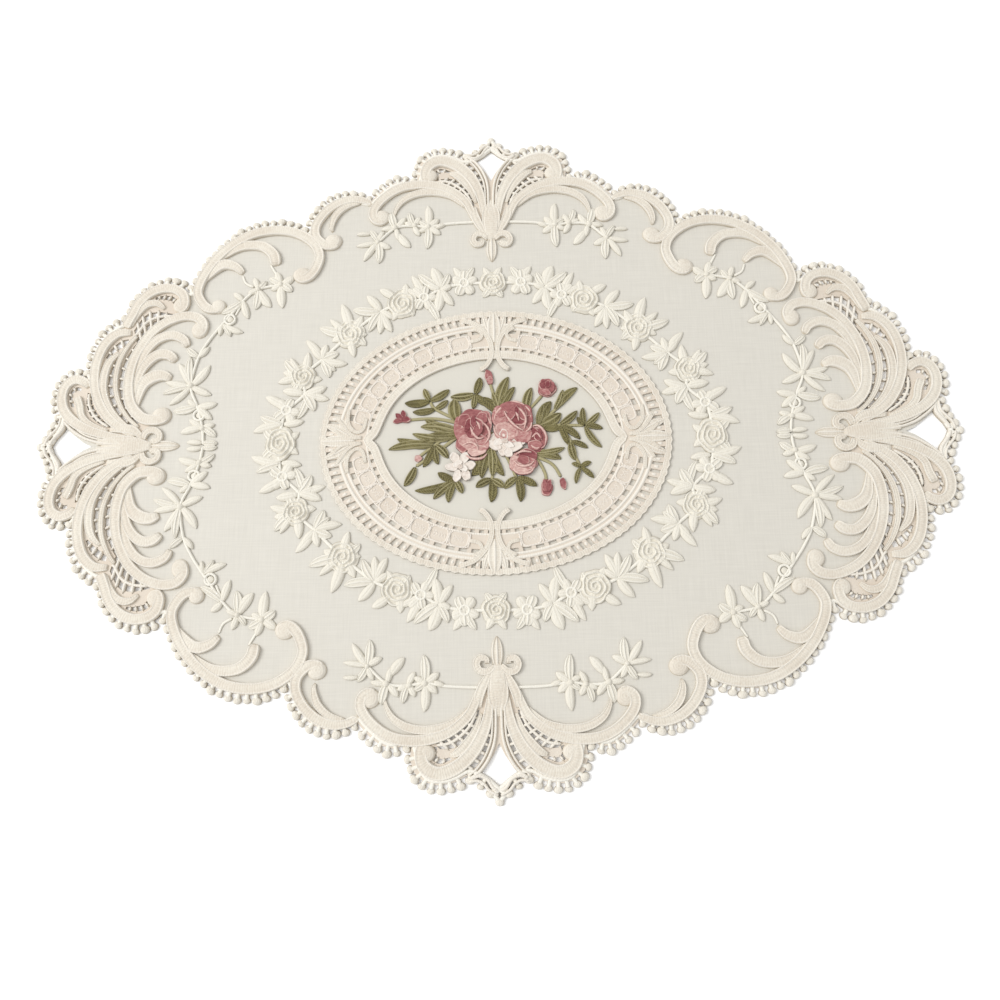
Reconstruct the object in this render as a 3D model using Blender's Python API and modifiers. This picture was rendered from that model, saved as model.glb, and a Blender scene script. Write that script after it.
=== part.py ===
"""Oval lace placemat: a sheer voile panel with a scalloped picot edge, padded scroll embroidery round its
rim, flower sprays, a rose wreath, an openwork oval frame and a coloured rose bouquet in the middle.

The mat lies flat on its underside. Its origin is the middle of that underside, +X runs along its length,
+Y along its width and +Z up. The pattern repeats in all four quarters, so the tables below hold one
quarter, in millimetres from the middle, and the script mirrors it.
"""

import math
from typing import NamedTuple

import bmesh
import bpy
import numpy as np
from mathutils import Matrix

MM = 0.001

# Driving sizes, in millimetres
HALF_LENGTH = 225.0
HALF_WIDTH = 168.0
CLOTH_THICKNESS = 1.0
PIECE_GAP = 0.3
PICOT_PITCH = 4.6
PICOT_REACH = 1.3
PICOT_ROOT = 0.4
STITCH_CROWN = 0.42
PLATE_THICKNESS = 0.7
HEART_RADIUS = 1.3
HEART_HEIGHT = 0.9
LEAF_BELLY = 0.5
LEAF_FULLNESS = 1.3
PETAL_BELLY = 0.68
KNOB_HEIGHT = 1.1
ROSE_HEIGHT = 1.4
BUD_HEIGHT = 1
FRAME_STEP = 0.3
FRAME_OPENING = (55.0, 41.0)
FRAME_RIM = (86.0, 67.0)
OVAL_SIDES = 36
ROSE_SIDES = 8
MERGE = 0.01 * MM

# Heights that follow from them
STITCH_FLOOR = CLOTH_THICKNESS + PIECE_GAP
BUD_FLOOR = STITCH_FLOOR + 2 * PIECE_GAP
BLOOM_FLOOR = STITCH_FLOOR + HEART_HEIGHT + PIECE_GAP


class Stitch(NamedTuple):
    """A padded satin stitch: its centre line and its width at each point of that line."""

    name: str
    path: tuple
    widths: tuple


class Knob(NamedTuple):
    """A small round boss, such as an eyelet or a berry."""

    x: float
    y: float
    radius: float


class Cluster(NamedTuple):
    """Leaves or petals round one heart. Each row of the leaves is the x and y of its tip, and its width."""

    x: float
    y: float
    leaves: tuple


class Bloom(NamedTuple):
    """A rose or blossom seen from above."""

    name: str
    x: float
    y: float
    radius_x: float
    radius_y: float


# The line through the middles of the picot beads, one row for each scallop, from the end of the width
# to the end of the length.
SCALLOPS = (
    ((0, 168.2), (4.2, 164.8), (8.6, 160.4), (13, 158)),
    ((13, 158), (19.5, 161), (27.5, 162), (34, 160.3), (38.5, 155), (40.5, 149), (41, 143.5)),
    ((41, 143.5), (46.5, 146.3), (52.5, 144.8), (58, 141), (62, 137), (64.5, 134.3)),
    ((64.5, 134.3), (70.5, 137.3), (77.5, 138), (84.5, 135.7), (90, 131), (94, 125), (97.5, 116.5)),
    ((97.5, 116.5), (102, 120.2), (109, 121.8), (117, 121.8), (124.5, 120), (132, 116),
     (139, 110.3), (145.5, 103), (150.5, 95.5), (155.5, 85)),
    ((155.5, 85), (160, 88.5), (167, 90), (174, 88.3), (180, 84), (184.5, 78), (188.5, 68.5)),
    ((188.5, 68.5), (193.5, 66), (198.3, 61.5), (201.8, 55.5), (204.2, 48), (204.5, 38.5)),
    ((204.5, 38.5), (209.5, 40.3), (214.5, 38.8), (218.7, 33.5), (220.5, 27), (220, 20.5), (217.8, 15)),
    ((217.8, 15), (218.8, 10.5), (221.5, 5.5), (225.3, 0)),
)

SCROLLS = (
    Stitch("crest_scroll", ((3.5, 123), (6, 134), (11, 144.5), (18.5, 151.5), (26.5, 154.4), (32.6, 151.6),
           (34.4, 146), (33.5, 140)), (2.4, 5, 6.2, 6.2, 6, 6, 5.4, 3.6)),
    Stitch("crest_leaf", ((8, 128), (10.8, 136), (15, 142.3), (20.5, 146), (24.5, 146.2)),
           (1.4, 2.6, 3.6, 3, 0.8)),
    Stitch("diamond_cord", ((1.4, 123), (2, 138), (4.3, 146.5), (8.3, 152.8), (13.5, 157)),
           (1.4, 1.8, 2, 2, 2)),
    Stitch("diamond_rim", ((-1.2, 163.4), (2.6, 161.2), (5.4, 157.6), (9.4, 156.2), (13.5, 157)),
           (2, 2, 2, 2, 2)),
    Stitch("hub_arc", ((8, 118), (13.5, 129.5), (22, 136.7), (32, 139.4), (43, 139.2), (51, 136.8),
           (57.5, 131.7), (61.2, 125.8), (59.6, 122), (56.8, 120.6)), (3, 4.2, 4.6, 4.8, 5, 4.8, 4.8, 5, 6.4, 3.6)),
    Stitch("hub_frond", ((13, 127), (21, 133.4), (34, 135.4), (46, 131), (50.8, 122)), (1.6, 3.2, 3.8, 3.4, 0.8)),
    Stitch("brow_scroll", ((59.6, 129.4), (66, 131.6), (73, 132.8), (80.5, 130.6), (87, 125.4), (91.2, 118),
           (90.2, 111.6), (86.2, 108.6), (82.8, 108.4)), (2, 3.4, 4.2, 4.6, 4.8, 4.8, 5, 7.8, 3.6)),
    Stitch("brow_frond", ((68.5, 131), (76, 128.8), (81.4, 123.6), (82.8, 114.5)), (1.4, 3, 3.4, 0.8)),
    Stitch("sweep_scroll", ((98.8, 91), (95.2, 92.2), (90.2, 95.6), (88.8, 101.4), (92.4, 108.4), (101, 114.2),
           (112, 116.2), (124, 114.2), (134.5, 108.2), (143, 99.8), (149, 90), (151, 82), (148.8, 76.4),
           (144.6, 73.6), (141.2, 73)), (3.6, 8.4, 5, 4.8, 5, 5, 5, 5, 5, 5, 5, 4.8, 4.8, 7, 3.6)),
    Stitch("sweep_frond_high", ((112.8, 97.4), (114, 103.6), (121, 108.2), (131, 107), (141, 99.8)),
           (2.4, 4.4, 4.6, 4, 1.8)),
    Stitch("sweep_frond_low", ((128, 91.6), (132.8, 96.4), (140, 96.6), (149, 87.5)), (1.6, 4.4, 5, 1.8)),
    Stitch("cusp_bar", ((147, 88), (153.6, 83.4), (160.6, 82.4)), (2, 2.4, 2)),
    Stitch("curl_scroll", ((161.4, 72), (158.8, 75.6), (158, 80.6), (163, 83.8), (169.5, 84), (175.8, 81.2),
           (180.4, 76), (183, 70), (187, 61)), (3.6, 8.2, 5, 4.8, 5, 5, 5, 5, 4.4)),
    Stitch("flank_scroll", ((183, 60.4), (190.5, 60), (196.5, 54.2), (199.8, 45.5), (200.4, 36), (198.4, 27),
           (193.8, 18.5), (187.5, 11.5), (177, 5)), (3, 4.6, 5, 5, 5, 5, 5, 4.6, 3)),
    Stitch("flank_inner", ((188.8, 48.6), (193.4, 42.6), (195, 34), (193.4, 24.6), (186.4, 13.6), (175, 6)),
           (1.4, 3.4, 4, 3.8, 3, 2)),
    Stitch("flank_strand", ((174.5, 60.6), (183.2, 55), (188.6, 43), (188.6, 29), (181.6, 15.6), (174, 8)),
           (1.4, 2, 2.4, 2.4, 2, 1.6)),
    Stitch("great_scroll", ((147.6, 59.6), (147, 63), (150.4, 67.4), (157.5, 68.4), (166, 65.2), (173.2, 59),
           (178.6, 50), (181.6, 40), (182, 30), (179.8, 20.8), (174.4, 14.6), (166.6, 14.2), (162.8, 15.6)),
           (3.6, 7, 4.8, 4.8, 4.8, 5, 5, 5.2, 5.6, 5.6, 5.2, 8, 3.6)),
    Stitch("frond_top", ((158.4, 54.4), (163.6, 57.8), (169.6, 55.8), (174.6, 49), (179.6, 36)),
           (2.8, 4.6, 4.4, 4, 1.6)),
    Stitch("frond_mid", ((162.6, 45.4), (168, 47.4), (173.2, 43.8), (177, 36.6), (179.4, 24)),
           (2.8, 5, 4.6, 4, 1.6)),
    Stitch("frond_low", ((166.6, 34.6), (171.6, 34.4), (175.6, 30), (177.6, 18.4)), (3.2, 5.4, 5, 2)),
    Stitch("knuckle_scroll", ((203, 31), (208.5, 34), (213.3, 32), (215.2, 26.3), (213.6, 19), (208.3, 12.8),
           (200.5, 8.4), (191, 5.4), (177, 3)), (3.6, 4.6, 4.8, 5, 5.2, 5.2, 4.8, 4, 3)),
    Stitch("knuckle_inner", ((208.4, 27.2), (205.8, 20.5), (203.8, 14.6), (190, 7.3)), (3.2, 4, 3.2, 1.8)),
    Stitch("side_diamond_cord", ((178, 1.6), (192, 2), (201, 4.2), (208, 8.6), (214, 14)),
           (1.4, 1.8, 2, 2, 2)),
    Stitch("side_diamond_rim", ((214, 14), (214.3, 9.4), (216.6, 5.6), (219.2, 2.8), (220.8, -1.2)),
           (2, 2, 2, 2, 2)),
    Stitch("lily_curl", ((1.5, 109), (5.5, 110.9), (9.2, 108.4), (8, 104.6), (4.6, 104.4)),
           (1.8, 2.2, 2.2, 2.2, 1.6)),
    Stitch("side_lily_curl", ((173, 3), (170.6, 8), (166, 8.6), (163.6, 5.2), (165, 2.9)),
           (2, 2.2, 2.2, 2.2, 1.4)),
)

# The hub that the scrolls spring from at each axis, with the middle petal of the lily under it. The outline
# runs across the axis, where the mirror trims it.
HUB_PLATE = ((-2, 129.4), (4, 127), (9.5, 122), (9, 117.5), (5.5, 113), (1.6, 109.4), (2.3, 103), (0.6, 95.8),
             (-2, 95.8))
SIDE_HUB_PLATE = ((196, -2), (192, 5), (182, 9), (176, 10.5), (172.5, 8), (171, 4), (168, 1.8), (160, 2.3),
                  (154.8, 0.6), (154.8, -2))

# Openwork gaps of 4 mm and more, cut through the voile: corners of each gap, in one quarter.
DIAMOND = ((0, 143.5), (2.6, 147.2), (6.3, 152.6), (7.6, 154.4), (4.2, 155.8), (1.8, 158.4), (0, 159.6))
SIDE_DIAMOND = ((201, 0), (206.6, 4.2), (212.6, 8.6), (213, 7.4), (214.8, 4.2), (217, 1.6), (217.8, 0))
OPENWORK = (
    ((24, 143.2), (24, 149.2), (28.4, 151), (31, 148), (30.4, 143), (27, 142.2)),
    ((11, 134.6), (13.4, 138.4), (16, 136.4), (13.6, 132.8)),
    ((14.2, 139.2), (18.2, 142.6), (20, 139), (16.6, 137)),
    ((19, 143), (23, 143.8), (24.6, 140.8), (20.8, 139.6)),
    ((3.6, 132), (3.8, 139), (5.2, 138.4), (4.8, 132)),
    ((4.4, 140.6), (6.6, 146.6), (8.2, 145.2), (5.8, 140)),
    ((162, 75.5), (163, 79.6), (171, 80.2), (171, 77.6), (166.8, 76.6), (166.4, 73)),
    ((166, 69.2), (170, 72), (172.6, 68.8), (169.6, 65.8)),
    ((171, 72.6), (176.4, 73.6), (178.6, 70), (173.6, 68.2)),
    ((172.6, 64), (175.6, 66.8), (179.4, 62.8), (176.6, 60)),
    ((187.6, 51.4), (187.8, 56.4), (191.6, 55.4), (193.2, 50)),
    ((185, 41.4), (184, 46), (185.8, 46.8), (187.2, 41.6)),
    ((185.8, 33), (185.6, 39.4), (187.4, 39.4), (187.6, 33)),
    ((184.8, 25.2), (185.8, 31.2), (187.4, 30.8), (186.4, 24.6)),
    ((190.8, 33.4), (190.8, 40.6), (192.4, 39.8), (192.6, 33.4)),
    ((189.8, 25), (190.8, 31.4), (192.2, 30.6), (191.4, 24.4)),
    ((185.4, 17), (188.4, 22), (189.8, 21.2), (186.8, 16)),
    ((199.6, 21.6), (201.6, 27.4), (203.6, 26.4), (202.8, 20)),
    ((196, 13), (198.8, 18), (202.2, 18.2), (201.4, 14.2)),
    ((208.2, 20.4), (210.6, 28), (212.2, 26.4), (211, 20)),
)

# A flower spray beside each end hub, with its stem through the hearts of its clusters.
SPRAY_STEMS = (
    Stitch("spray_stem", ((10.9, 117.2), (22, 117), (33, 115.4), (40.5, 116.4), (50, 115.4), (59, 107.5)),
           (1.2, 1.2, 1.4, 1.4, 1.4, 1.2)),
)
SPRAY_CLUSTERS = (
    Cluster(33, 115.4, ((33.2, 127.5, 4), (33.6, 103.5, 4), (26.6, 119.6, 3.4), (26.4, 111, 3.4))),
    Cluster(40.5, 116.4, ((37, 121.4, 3.4), (42.8, 123.8, 3.4), (37, 110.8, 3.4))),
    Cluster(50, 115.4, ((44.6, 121, 3.4), (53.8, 120.8, 2.8), (57.4, 114.6, 3), (42.4, 104.8, 4.4))),
    Cluster(59, 107.5, ((52.4, 104, 3.6), (58.4, 96, 3.8), (65.8, 97.4, 3.2), (69.8, 105.6, 2.8),
            (69.4, 112.4, 2.6), (62.6, 114.4, 3))),
)
SPRAY_KNOBS = (Knob(33, 115.6, 1.9), Knob(50.4, 115.4, 1.9))

# The garland down one half of each side.
GARLAND_STEMS = (
    Stitch("garland_stem", ((108.2, 85.1), (120, 82.7), (127.5, 76.6), (137.6, 63.6), (144, 54.5), (148.6, 45),
           (151, 30.6), (147, 20), (143.6, 9), (142.4, -1.2)),
           (1.4, 1.4, 1.4, 1.3, 1.3, 1.3, 1.4, 1.4, 1.4, 1.4)),
)
GARLAND_CLUSTERS = (
    Cluster(108.2, 85.1, ((101.6, 89.6, 4), (102.4, 81.2, 3.8), (107.2, 72.4, 4.4), (110.8, 92.4, 3.4))),
    Cluster(114.6, 84.4, ((116, 89.4, 3.4),)),
    Cluster(120, 82.7, ((113.2, 73, 4.8), (121, 71.8, 4), (122.4, 89, 2.8))),
    Cluster(127.5, 76.6, ((132.8, 80.8, 3), (138, 69.8, 3.6), (124.6, 66.8, 3.6))),
    Cluster(137.6, 63.6, ((127.2, 59, 3.4), (133.6, 57.4, 2.6))),
    Cluster(151, 30.6, ((142.6, 41.4, 4), (152.6, 45.6, 3.6), (157.6, 42.4, 3.6), (163.4, 32.6, 3.4),
            (164.4, 26.8, 3.2), (161, 21.4, 3.2), (140.8, 26, 3.6))),
    Cluster(147, 20, ((137.6, 21.6, 3.6), (158.2, 17.6, 4), (139.4, 13.6, 3.8))),
    Cluster(143.6, 9, ((153.8, 6.6, 3.8), (136.8, 4.6, 3.4), (150, 13, 3))),
)
GARLAND_KNOBS = (Knob(133.6, 66.6, 3), Knob(151, 30.8, 2.4), Knob(145.8, 15.6, 2.8), Knob(142, 0, 2.6))

# The wreath of roses, small flowers and leaves, on one stem through all of them.
WREATH_STEMS = (
    Stitch("wreath_stem", ((-1.6, 83.4), (14.6, 83), (26.6, 80.3), (35, 75.4), (46, 72.5), (56.7, 68.6),
           (72, 56.6), (86, 43.4), (95.4, 34.6), (94.4, 25.6), (102.6, 17), (105, 8), (105.4, -1.6)),
           (1.4, 1.4, 1.4, 1.4, 1.4, 1.4, 1.4, 1.4, 1.4, 1.4, 1.4, 1.4, 1.4)),
)
WREATH_ROSES = (
    Bloom("rose_0", 0, 83, 7, 6.6), Bloom("rose_1", 46, 72.5, 7.2, 7.6), Bloom("rose_2", 72, 56.6, 7.2, 7.4),
    Bloom("rose_3", 95.4, 34.6, 6.4, 6.6), Bloom("rose_4", 105, 0, 7.4, 9),
)
WREATH_FLOWERS = (
    Cluster(14.6, 83, ((20.4, 85.4, 4.6), (14.2, 89.8, 4.6), (8.4, 85.8, 4), (10.8, 77.6, 4.6), (17.4, 77, 4.6))),
    Cluster(35, 75.4, ((40.4, 80.4, 3.6), (34.2, 81.6, 3.6), (29.4, 76, 3.4), (32, 69.6, 3.6), (38.4, 69.8, 3.6))),
    Cluster(102.6, 17, ((107.2, 21.8, 4.4), (100, 22.6, 4), (96.4, 16, 4), (99.6, 10.8, 4.4), (107.8, 13, 4.4))),
)
WREATH_CLUSTERS = (
    Cluster(26.6, 80.3, ((31, 91.8, 4.6), (37.6, 88.4, 3.6), (20.4, 71.4, 3.2), (28.4, 68, 4), (22.6, 88, 3))),
    Cluster(56.7, 68.6, ((56.2, 81.8, 4.2), (64, 77, 3.6), (70.4, 69.8, 3.6), (51.2, 58, 3.4), (57, 57, 3.2),
            (62.4, 58, 3.4))),
    Cluster(72, 56.6, ((76.4, 73, 4), (87.4, 60.4, 4), (70, 45, 3.6))),
    Cluster(86, 43.4, ((73.4, 41, 3.4), (82, 34.2, 3.6), (91, 49.4, 3), (84, 51, 3))),
    Cluster(95.4, 34.6, ((93, 47, 3.6), (104.4, 43.4, 3.6), (107, 31.6, 3.4))),
    Cluster(94.4, 25.6, ((83.8, 28.8, 3.8), (89.2, 16.8, 4), (104.6, 27.4, 4))),
    Cluster(105, 3.4, ((118.2, 5.8, 4),)),
    Cluster(104.4, 14, ((114.8, 15.6, 3.4), (113, 24, 3.6))),
)
WREATH_KNOBS = (Knob(14.6, 83, 2.6), Knob(35, 75.4, 2), Knob(102.6, 17, 2.6))

# The oval frame is one band, wider at the ends of its length. Its section runs from the opening out to the
# rim, as shares of half its width, with a raised cord at each edge and one between.
FRAME_SECTION = ((-1, 0), (-0.9, 0.06), (-0.77, 0.032), (0.16, 0.032), (0.26, 0.06), (0.37, 0.032),
                 (0.77, 0.032), (0.9, 0.06), (1, 0))
FRAME_ORNAMENTS = (
    Stitch("lily_side", ((6, 37), (2, 42), (1.9, 48), (5, 55), (11, 61)), (1.8, 2.4, 2.2, 2, 1.6)),
    Stitch("cell_end", ((71.5, 16), (71, 8), (67, 3.6), (62.4, 5), (60.4, 12)), (2, 2, 2.2, 2, 2)),
    Stitch("palmette", ((71, 2), (76, 6), (80.5, 11)), (1.4, 2.4, 1.2)),
)
FRAME_PLATES = (
    ((-1.5, 50), (1.4, 51), (2.3, 58), (0.7, 65.4), (-1.5, 65.4)),
    ((68, -1.5), (68, 1), (76, 2.2), (84, 0.7), (84, -1.5)),
)

# The bouquet, which isn't mirrored.
BOUQUET_STEMS = (
    Stitch("stem_left_high", ((1, 1), (-17, 9), (-29, 15.5), (-31.7, 19.7)), (3, 1.6, 1.4, 1.2)),
    Stitch("stem_left_bud", ((-16, 7.6), (-29, 10.4), (-42, 10.2)), (1.4, 1.3, 1.1)),
    Stitch("stem_left", ((1, 0), (-18, 3), (-29, -3), (-37.6, -7.6)), (3, 2, 1.5, 1.1)),
    Stitch("stem_left_low", ((-17, 2), (-29, -7.4), (-38.4, -13.6)), (1.5, 1.3, 1.1)),
    Stitch("stem_low_left", ((1, -1), (-11, -14), (-21, -23)), (3, 1.6, 1.2)),
    Stitch("stem_low", ((0, 1), (-0.5, -12), (-1.5, -21.4)), (3, 1.8, 1.3)),
    Stitch("stem_low_right", ((1, 0), (7, -12), (10.6, -20.6)), (3, 1.6, 1.3)),
    Stitch("stem_buds", ((1, 0), (18, -9), (22.6, -17), (24.4, -24)), (3, 1.6, 1.3, 1)),
    Stitch("stem_small_bud", ((17, -8.2), (27, -13), (32, -22)), (1.4, 1.2, 1)),
    Stitch("stem_right", ((0, 0), (22, 7), (31, 6.4), (41.6, 5.2)), (3, 2, 1.6, 1.2)),
    Stitch("stem_right_high", ((21, 6.4), (29, 14), (33, 18)), (1.6, 1.4, 1.2)),
    Stitch("stem_right_low", ((30, 6.6), (36, -1), (38.4, -9), (39.9, -15.7)), (1.5, 1.4, 1.3, 1.1)),
    Stitch("stem_top", ((0.6, 0), (1.6, 13), (-1.2, 24), (-2.8, 30)), (3, 1.6, 1.2, 1)),
    Stitch("stem_top_left", ((1.4, 11), (-5, 19), (-9.8, 22.7)), (1.4, 1.3, 1.2)),
    Stitch("stem_rose_bud", ((0, 0), (15, 13), (24.6, 24)), (2, 1.5, 1.1)),
)
BOUQUET_CLUSTERS = (
    Cluster(-31.7, 19.7, ((-44, 19.2, 4.2), (-22.4, 25.6, 3.6), (-34.4, 26.4, 3.2))),
    Cluster(-29, 15.5, ((-39, 14.4, 3.4), (-22, 19.6, 3))),
    Cluster(-17, 9, ((-20.6, 20, 6),)),
    Cluster(-18, 3, ((-33.4, 5.6, 7),)),
    Cluster(-29, -3, ((-47, 0.8, 4.8), (-51, -5, 4.8), (-34, -13.6, 3.8), (-27.4, -12, 3.8))),
    Cluster(-38.4, -13.6, ((-44, -22.8, 4), (-46.6, -14.4, 3))),
    Cluster(-21, -23, ((-38.4, -26.6, 4), (-29.6, -30.4, 3.8), (-28.6, -17.4, 4), (-22, -32.6, 4),
            (-14.6, -28.6, 4))),
    Cluster(-1.5, -21.4, ((-1.8, -33, 4), (-9.4, -25, 3.6), (4.4, -25.6, 3.2))),
    Cluster(10.6, -20.6, ((12.2, -33, 4.6), (5, -26.4, 3.4), (20, -25.8, 3.2))),
    Cluster(-3, -5, ((-10.8, -19, 7), (0.6, -18, 5))),
    Cluster(19, -8.6, ((31.4, -10.8, 4.6),)),
    Cluster(22, 7, ((27.6, 17.8, 6),)),
    Cluster(31, 6.4, ((41, -0.6, 3.6), (39.4, 13.4, 3.6))),
    Cluster(41.6, 5.2, ((43, 14.8, 3.2), (50.2, 11.8, 3.2), (52, 5, 3), (51.8, -5, 3.4))),
    Cluster(29, 14, ((40.6, 25, 5),)),
    Cluster(36.6, -2.4, ((44.4, -5.8, 2.8), (33.6, -11.6, 4))),
    Cluster(39.9, -15.7, ((45.4, -12.6, 2.4), (37.6, -23.4, 2.4), (46.8, -20.8, 2.4))),
    Cluster(1.6, 13, ((4, 29.6, 5.6), (-7.4, 20, 5), (9.6, 26, 4))),
    Cluster(-9.8, 22.7, ((-21, 22, 4.4), (-7.4, 31.6, 4), (-10.4, 15, 2.8))),
    Cluster(15, 13, ((17.8, 25, 5),)),
)
BOUQUET_BLOOMS = (
    Bloom("rose_left", -10.4, 4, 8.6, 10.4), Bloom("rose_crown", 8.8, 9.8, 8.8, 8.6),
    Bloom("rose_right", 20.4, -1.6, 4.6, 6.8), Bloom("rose_low", 13.4, -12.4, 6.6, 5.4),
    Bloom("blossom_heart", 4.4, -3.4, 6.4, 4), Bloom("blossom_low", -16, -14.4, 5.4, 6),
)
BOUQUET_BUDS = (
    Bloom("bud_top", -3, 31.4, 1.9, 3.8), Bloom("bud_rose", 25.6, 25.6, 4.4, 4.6), Bloom("bud_left", -45, 10.2, 3.8, 2.6),
    Bloom("bud_low", 24.6, -26, 3, 4), Bloom("bud_small", 32.6, -23.8, 1.8, 3), Bloom("bud_pale", -37.4, -9.6, 2.4, 2.2),
)

# The quarters of the sprays and the halves of the garlands: the sign of x and of y in each.
SPRAYS = (("spray_back_right", 1, 1), ("spray_back_left", -1, 1), ("spray_front_left", -1, -1),
          ("spray_front_right", 1, -1))
GARLANDS = (("garland_right", 1, 1), ("garland_left", -1, 1))

# The share of its faces that a fused body keeps when the points left along its seams are thinned out.
KEPT_SHARES = {
    "scroll_border": 0.68,
    "rose_wreath": 0.46,
    "garland_right": 0.6,
    "garland_left": 0.6,
    "spray_back_right": 0.65,
    "spray_back_left": 0.65,
    "spray_front_left": 0.65,
    "spray_front_right": 0.65,
    "bouquet_foliage": 0.62,
}

MATERIALS = {
    "voile": ((0.80, 0.79, 0.74), 0.85),
    "cream_thread": ((0.89, 0.84, 0.75), 0.7),
    "leaf_thread": ((0.24, 0.23, 0.09), 0.65),
    "rose_thread": ((0.66, 0.25, 0.27), 0.65),
    "white_thread": ((0.92, 0.86, 0.83), 0.7),
}


def material(name):
    """The named thread or cloth, made the first time it is asked for."""
    found = bpy.data.materials.get(name)
    if found:
        return found
    colour, roughness = MATERIALS[name]
    made = bpy.data.materials.new(name)
    made.use_nodes = True
    shader = made.node_tree.nodes["Principled BSDF"]
    shader.inputs["Base Color"].default_value = (*colour, 1)
    shader.inputs["Roughness"].default_value = roughness
    shader.inputs["Metallic"].default_value = 0
    return made


def clear_scene():
    for found in list(bpy.data.objects):
        bpy.data.objects.remove(found)


def new_collection(name):
    made = bpy.data.collections.new(name)
    bpy.context.scene.collection.children.link(made)
    return made


def smooth_line(points, step):
    """Catmull-Rom curve through the points, with stations about a step apart."""
    p = np.array(points, float)
    ends = np.vstack((2 * p[0] - p[1], p, 2 * p[-1] - p[-2]))
    runs = []
    for a, b, c, d in zip(ends, ends[1:], ends[2:], ends[3:]):
        count = max(1, round(float(np.linalg.norm(c - b)) / step))
        t = np.arange(count)[:, None] / count
        runs.append(0.5 * (2 * b + (c - a) * t + (2 * a - 5 * b + 4 * c - d) * t**2
                           + (3 * b - a - 3 * c + d) * t**3))
    return np.vstack((*runs, p[-1:]))


def evenly_spaced(line, pitch):
    """Points along a line, a whole number of equal steps of about the pitch apart."""
    run = np.concatenate(([0], np.cumsum(np.linalg.norm(np.diff(line, axis=0), axis=1))))
    at = np.linspace(0, run[-1], max(2, round(run[-1] / pitch) + 1))
    return np.stack([np.interp(at, run, line[:, i]) for i in range(2)], axis=1)


def scallop_line(pitch):
    """The quarter's edge, from the end of the width to the end of the length, with a point on each cusp."""
    runs = [evenly_spaced(smooth_line(points, 0.5), pitch) for points in SCALLOPS]
    return np.vstack([run[:-1] for run in runs] + [runs[-1][-1:]])


def outward(loop):
    """Unit normals that point out of a clockwise closed loop."""
    along = np.roll(loop, -1, axis=0) - np.roll(loop, 1, axis=0)
    normal = np.stack((-along[:, 1], along[:, 0]), axis=1)
    return normal / np.linalg.norm(normal, axis=1)[:, None]


def all_round(quarter):
    """A clockwise closed loop from a quarter that runs from the +Y axis to the +X axis."""
    right = np.vstack((quarter, quarter[-2::-1] * (1, -1)))
    return np.vstack((right, right[-2:0:-1] * (-1, 1)))


def mirrored_corners(corners):
    """One loop for each quarter that a gap repeats in. A gap whose line starts and ends on an axis is closed over it."""
    p = np.array(corners, float)
    if p[0, 0] == p[-1, 0] == 0:
        whole = np.vstack((p, p[-2:0:-1] * (-1, 1)))
        return [whole, whole * (1, -1)]
    if p[0, 1] == p[-1, 1] == 0:
        whole = np.vstack((p, p[-2:0:-1] * (1, -1)))
        return [whole, whole * (-1, 1)]
    return [p * (sx, sy) for sx in (1, -1) for sy in (1, -1)]


def mesh_object(name, curve, collection, slot):
    """The curve as a mesh object, with its end caps welded on. The curve itself is removed."""
    shape = bpy.data.objects.new(name, curve)
    bpy.context.scene.collection.objects.link(shape)
    bpy.context.view_layer.update()
    mesh = bpy.data.meshes.new_from_object(shape.evaluated_get(bpy.context.evaluated_depsgraph_get()))
    place = shape.matrix_world.copy()
    bpy.data.objects.remove(shape)
    weld = bmesh.new()
    weld.from_mesh(mesh)
    bmesh.ops.remove_doubles(weld, verts=weld.verts, dist=MERGE)
    weld.to_mesh(mesh)
    weld.free()
    mesh.materials.clear()
    mesh.materials.append(material(slot))
    made = bpy.data.objects.new(name, mesh)
    made.matrix_world = place
    collection.objects.link(made)
    return made


def flat_piece(name, loops, floor, thickness, collection, slot):
    """A flat plate of the first loop's outline, with the other loops cut out of it."""
    curve = bpy.data.curves.new(name, "CURVE")
    curve.dimensions = "2D"
    curve.fill_mode = "BOTH"
    curve.extrude = thickness / 2 * MM
    for loop in loops:
        spline = curve.splines.new("POLY")
        spline.points.add(len(loop) - 1)
        for point, (x, y) in zip(spline.points, loop):
            point.co = (x * MM, y * MM, 0, 1)
        spline.use_cyclic_u = True
    made = mesh_object(name, curve, collection, slot)
    made.data.transform(made.matrix_world.Translation((0, 0, (floor + thickness / 2) * MM)))
    return made


def section(name, points, helpers):
    """A section for a curve: flat below, one unit to each side. Each point's radius scales it to the width."""
    curve = bpy.data.curves.new(name, "CURVE")
    curve.dimensions = "2D"
    spline = curve.splines.new("POLY")
    spline.points.add(len(points) - 1)
    for point, (x, y) in zip(spline.points, points):
        point.co = (x * MM, y * MM, 0, 1)
    spline.use_cyclic_u = True
    made = bpy.data.objects.new(name, curve)
    helpers.objects.link(made)
    return made


def stitched(name, path, widths, profile, floor, collection, slot, closed=False):
    """A padded stitch along a path: a curve with the section given, as wide at each point as its row says."""
    curve = bpy.data.curves.new(name, "CURVE")
    curve.dimensions = "2D"
    curve.resolution_u = 1
    curve.bevel_mode = "OBJECT"
    curve.bevel_object = profile
    curve.use_fill_caps = True
    spline = curve.splines.new("BEZIER")
    spline.bezier_points.add(len(path) - 1)
    spline.use_cyclic_u = closed
    for point, (x, y), width in zip(spline.bezier_points, path, widths):
        point.co = (x * MM, y * MM, 0)
        point.radius = width / 2
        point.handle_left_type = point.handle_right_type = "AUTO"
    made = mesh_object(name, curve, collection, slot)
    made.data.transform(made.matrix_world.Translation((0, 0, floor * MM)))
    return made


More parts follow.
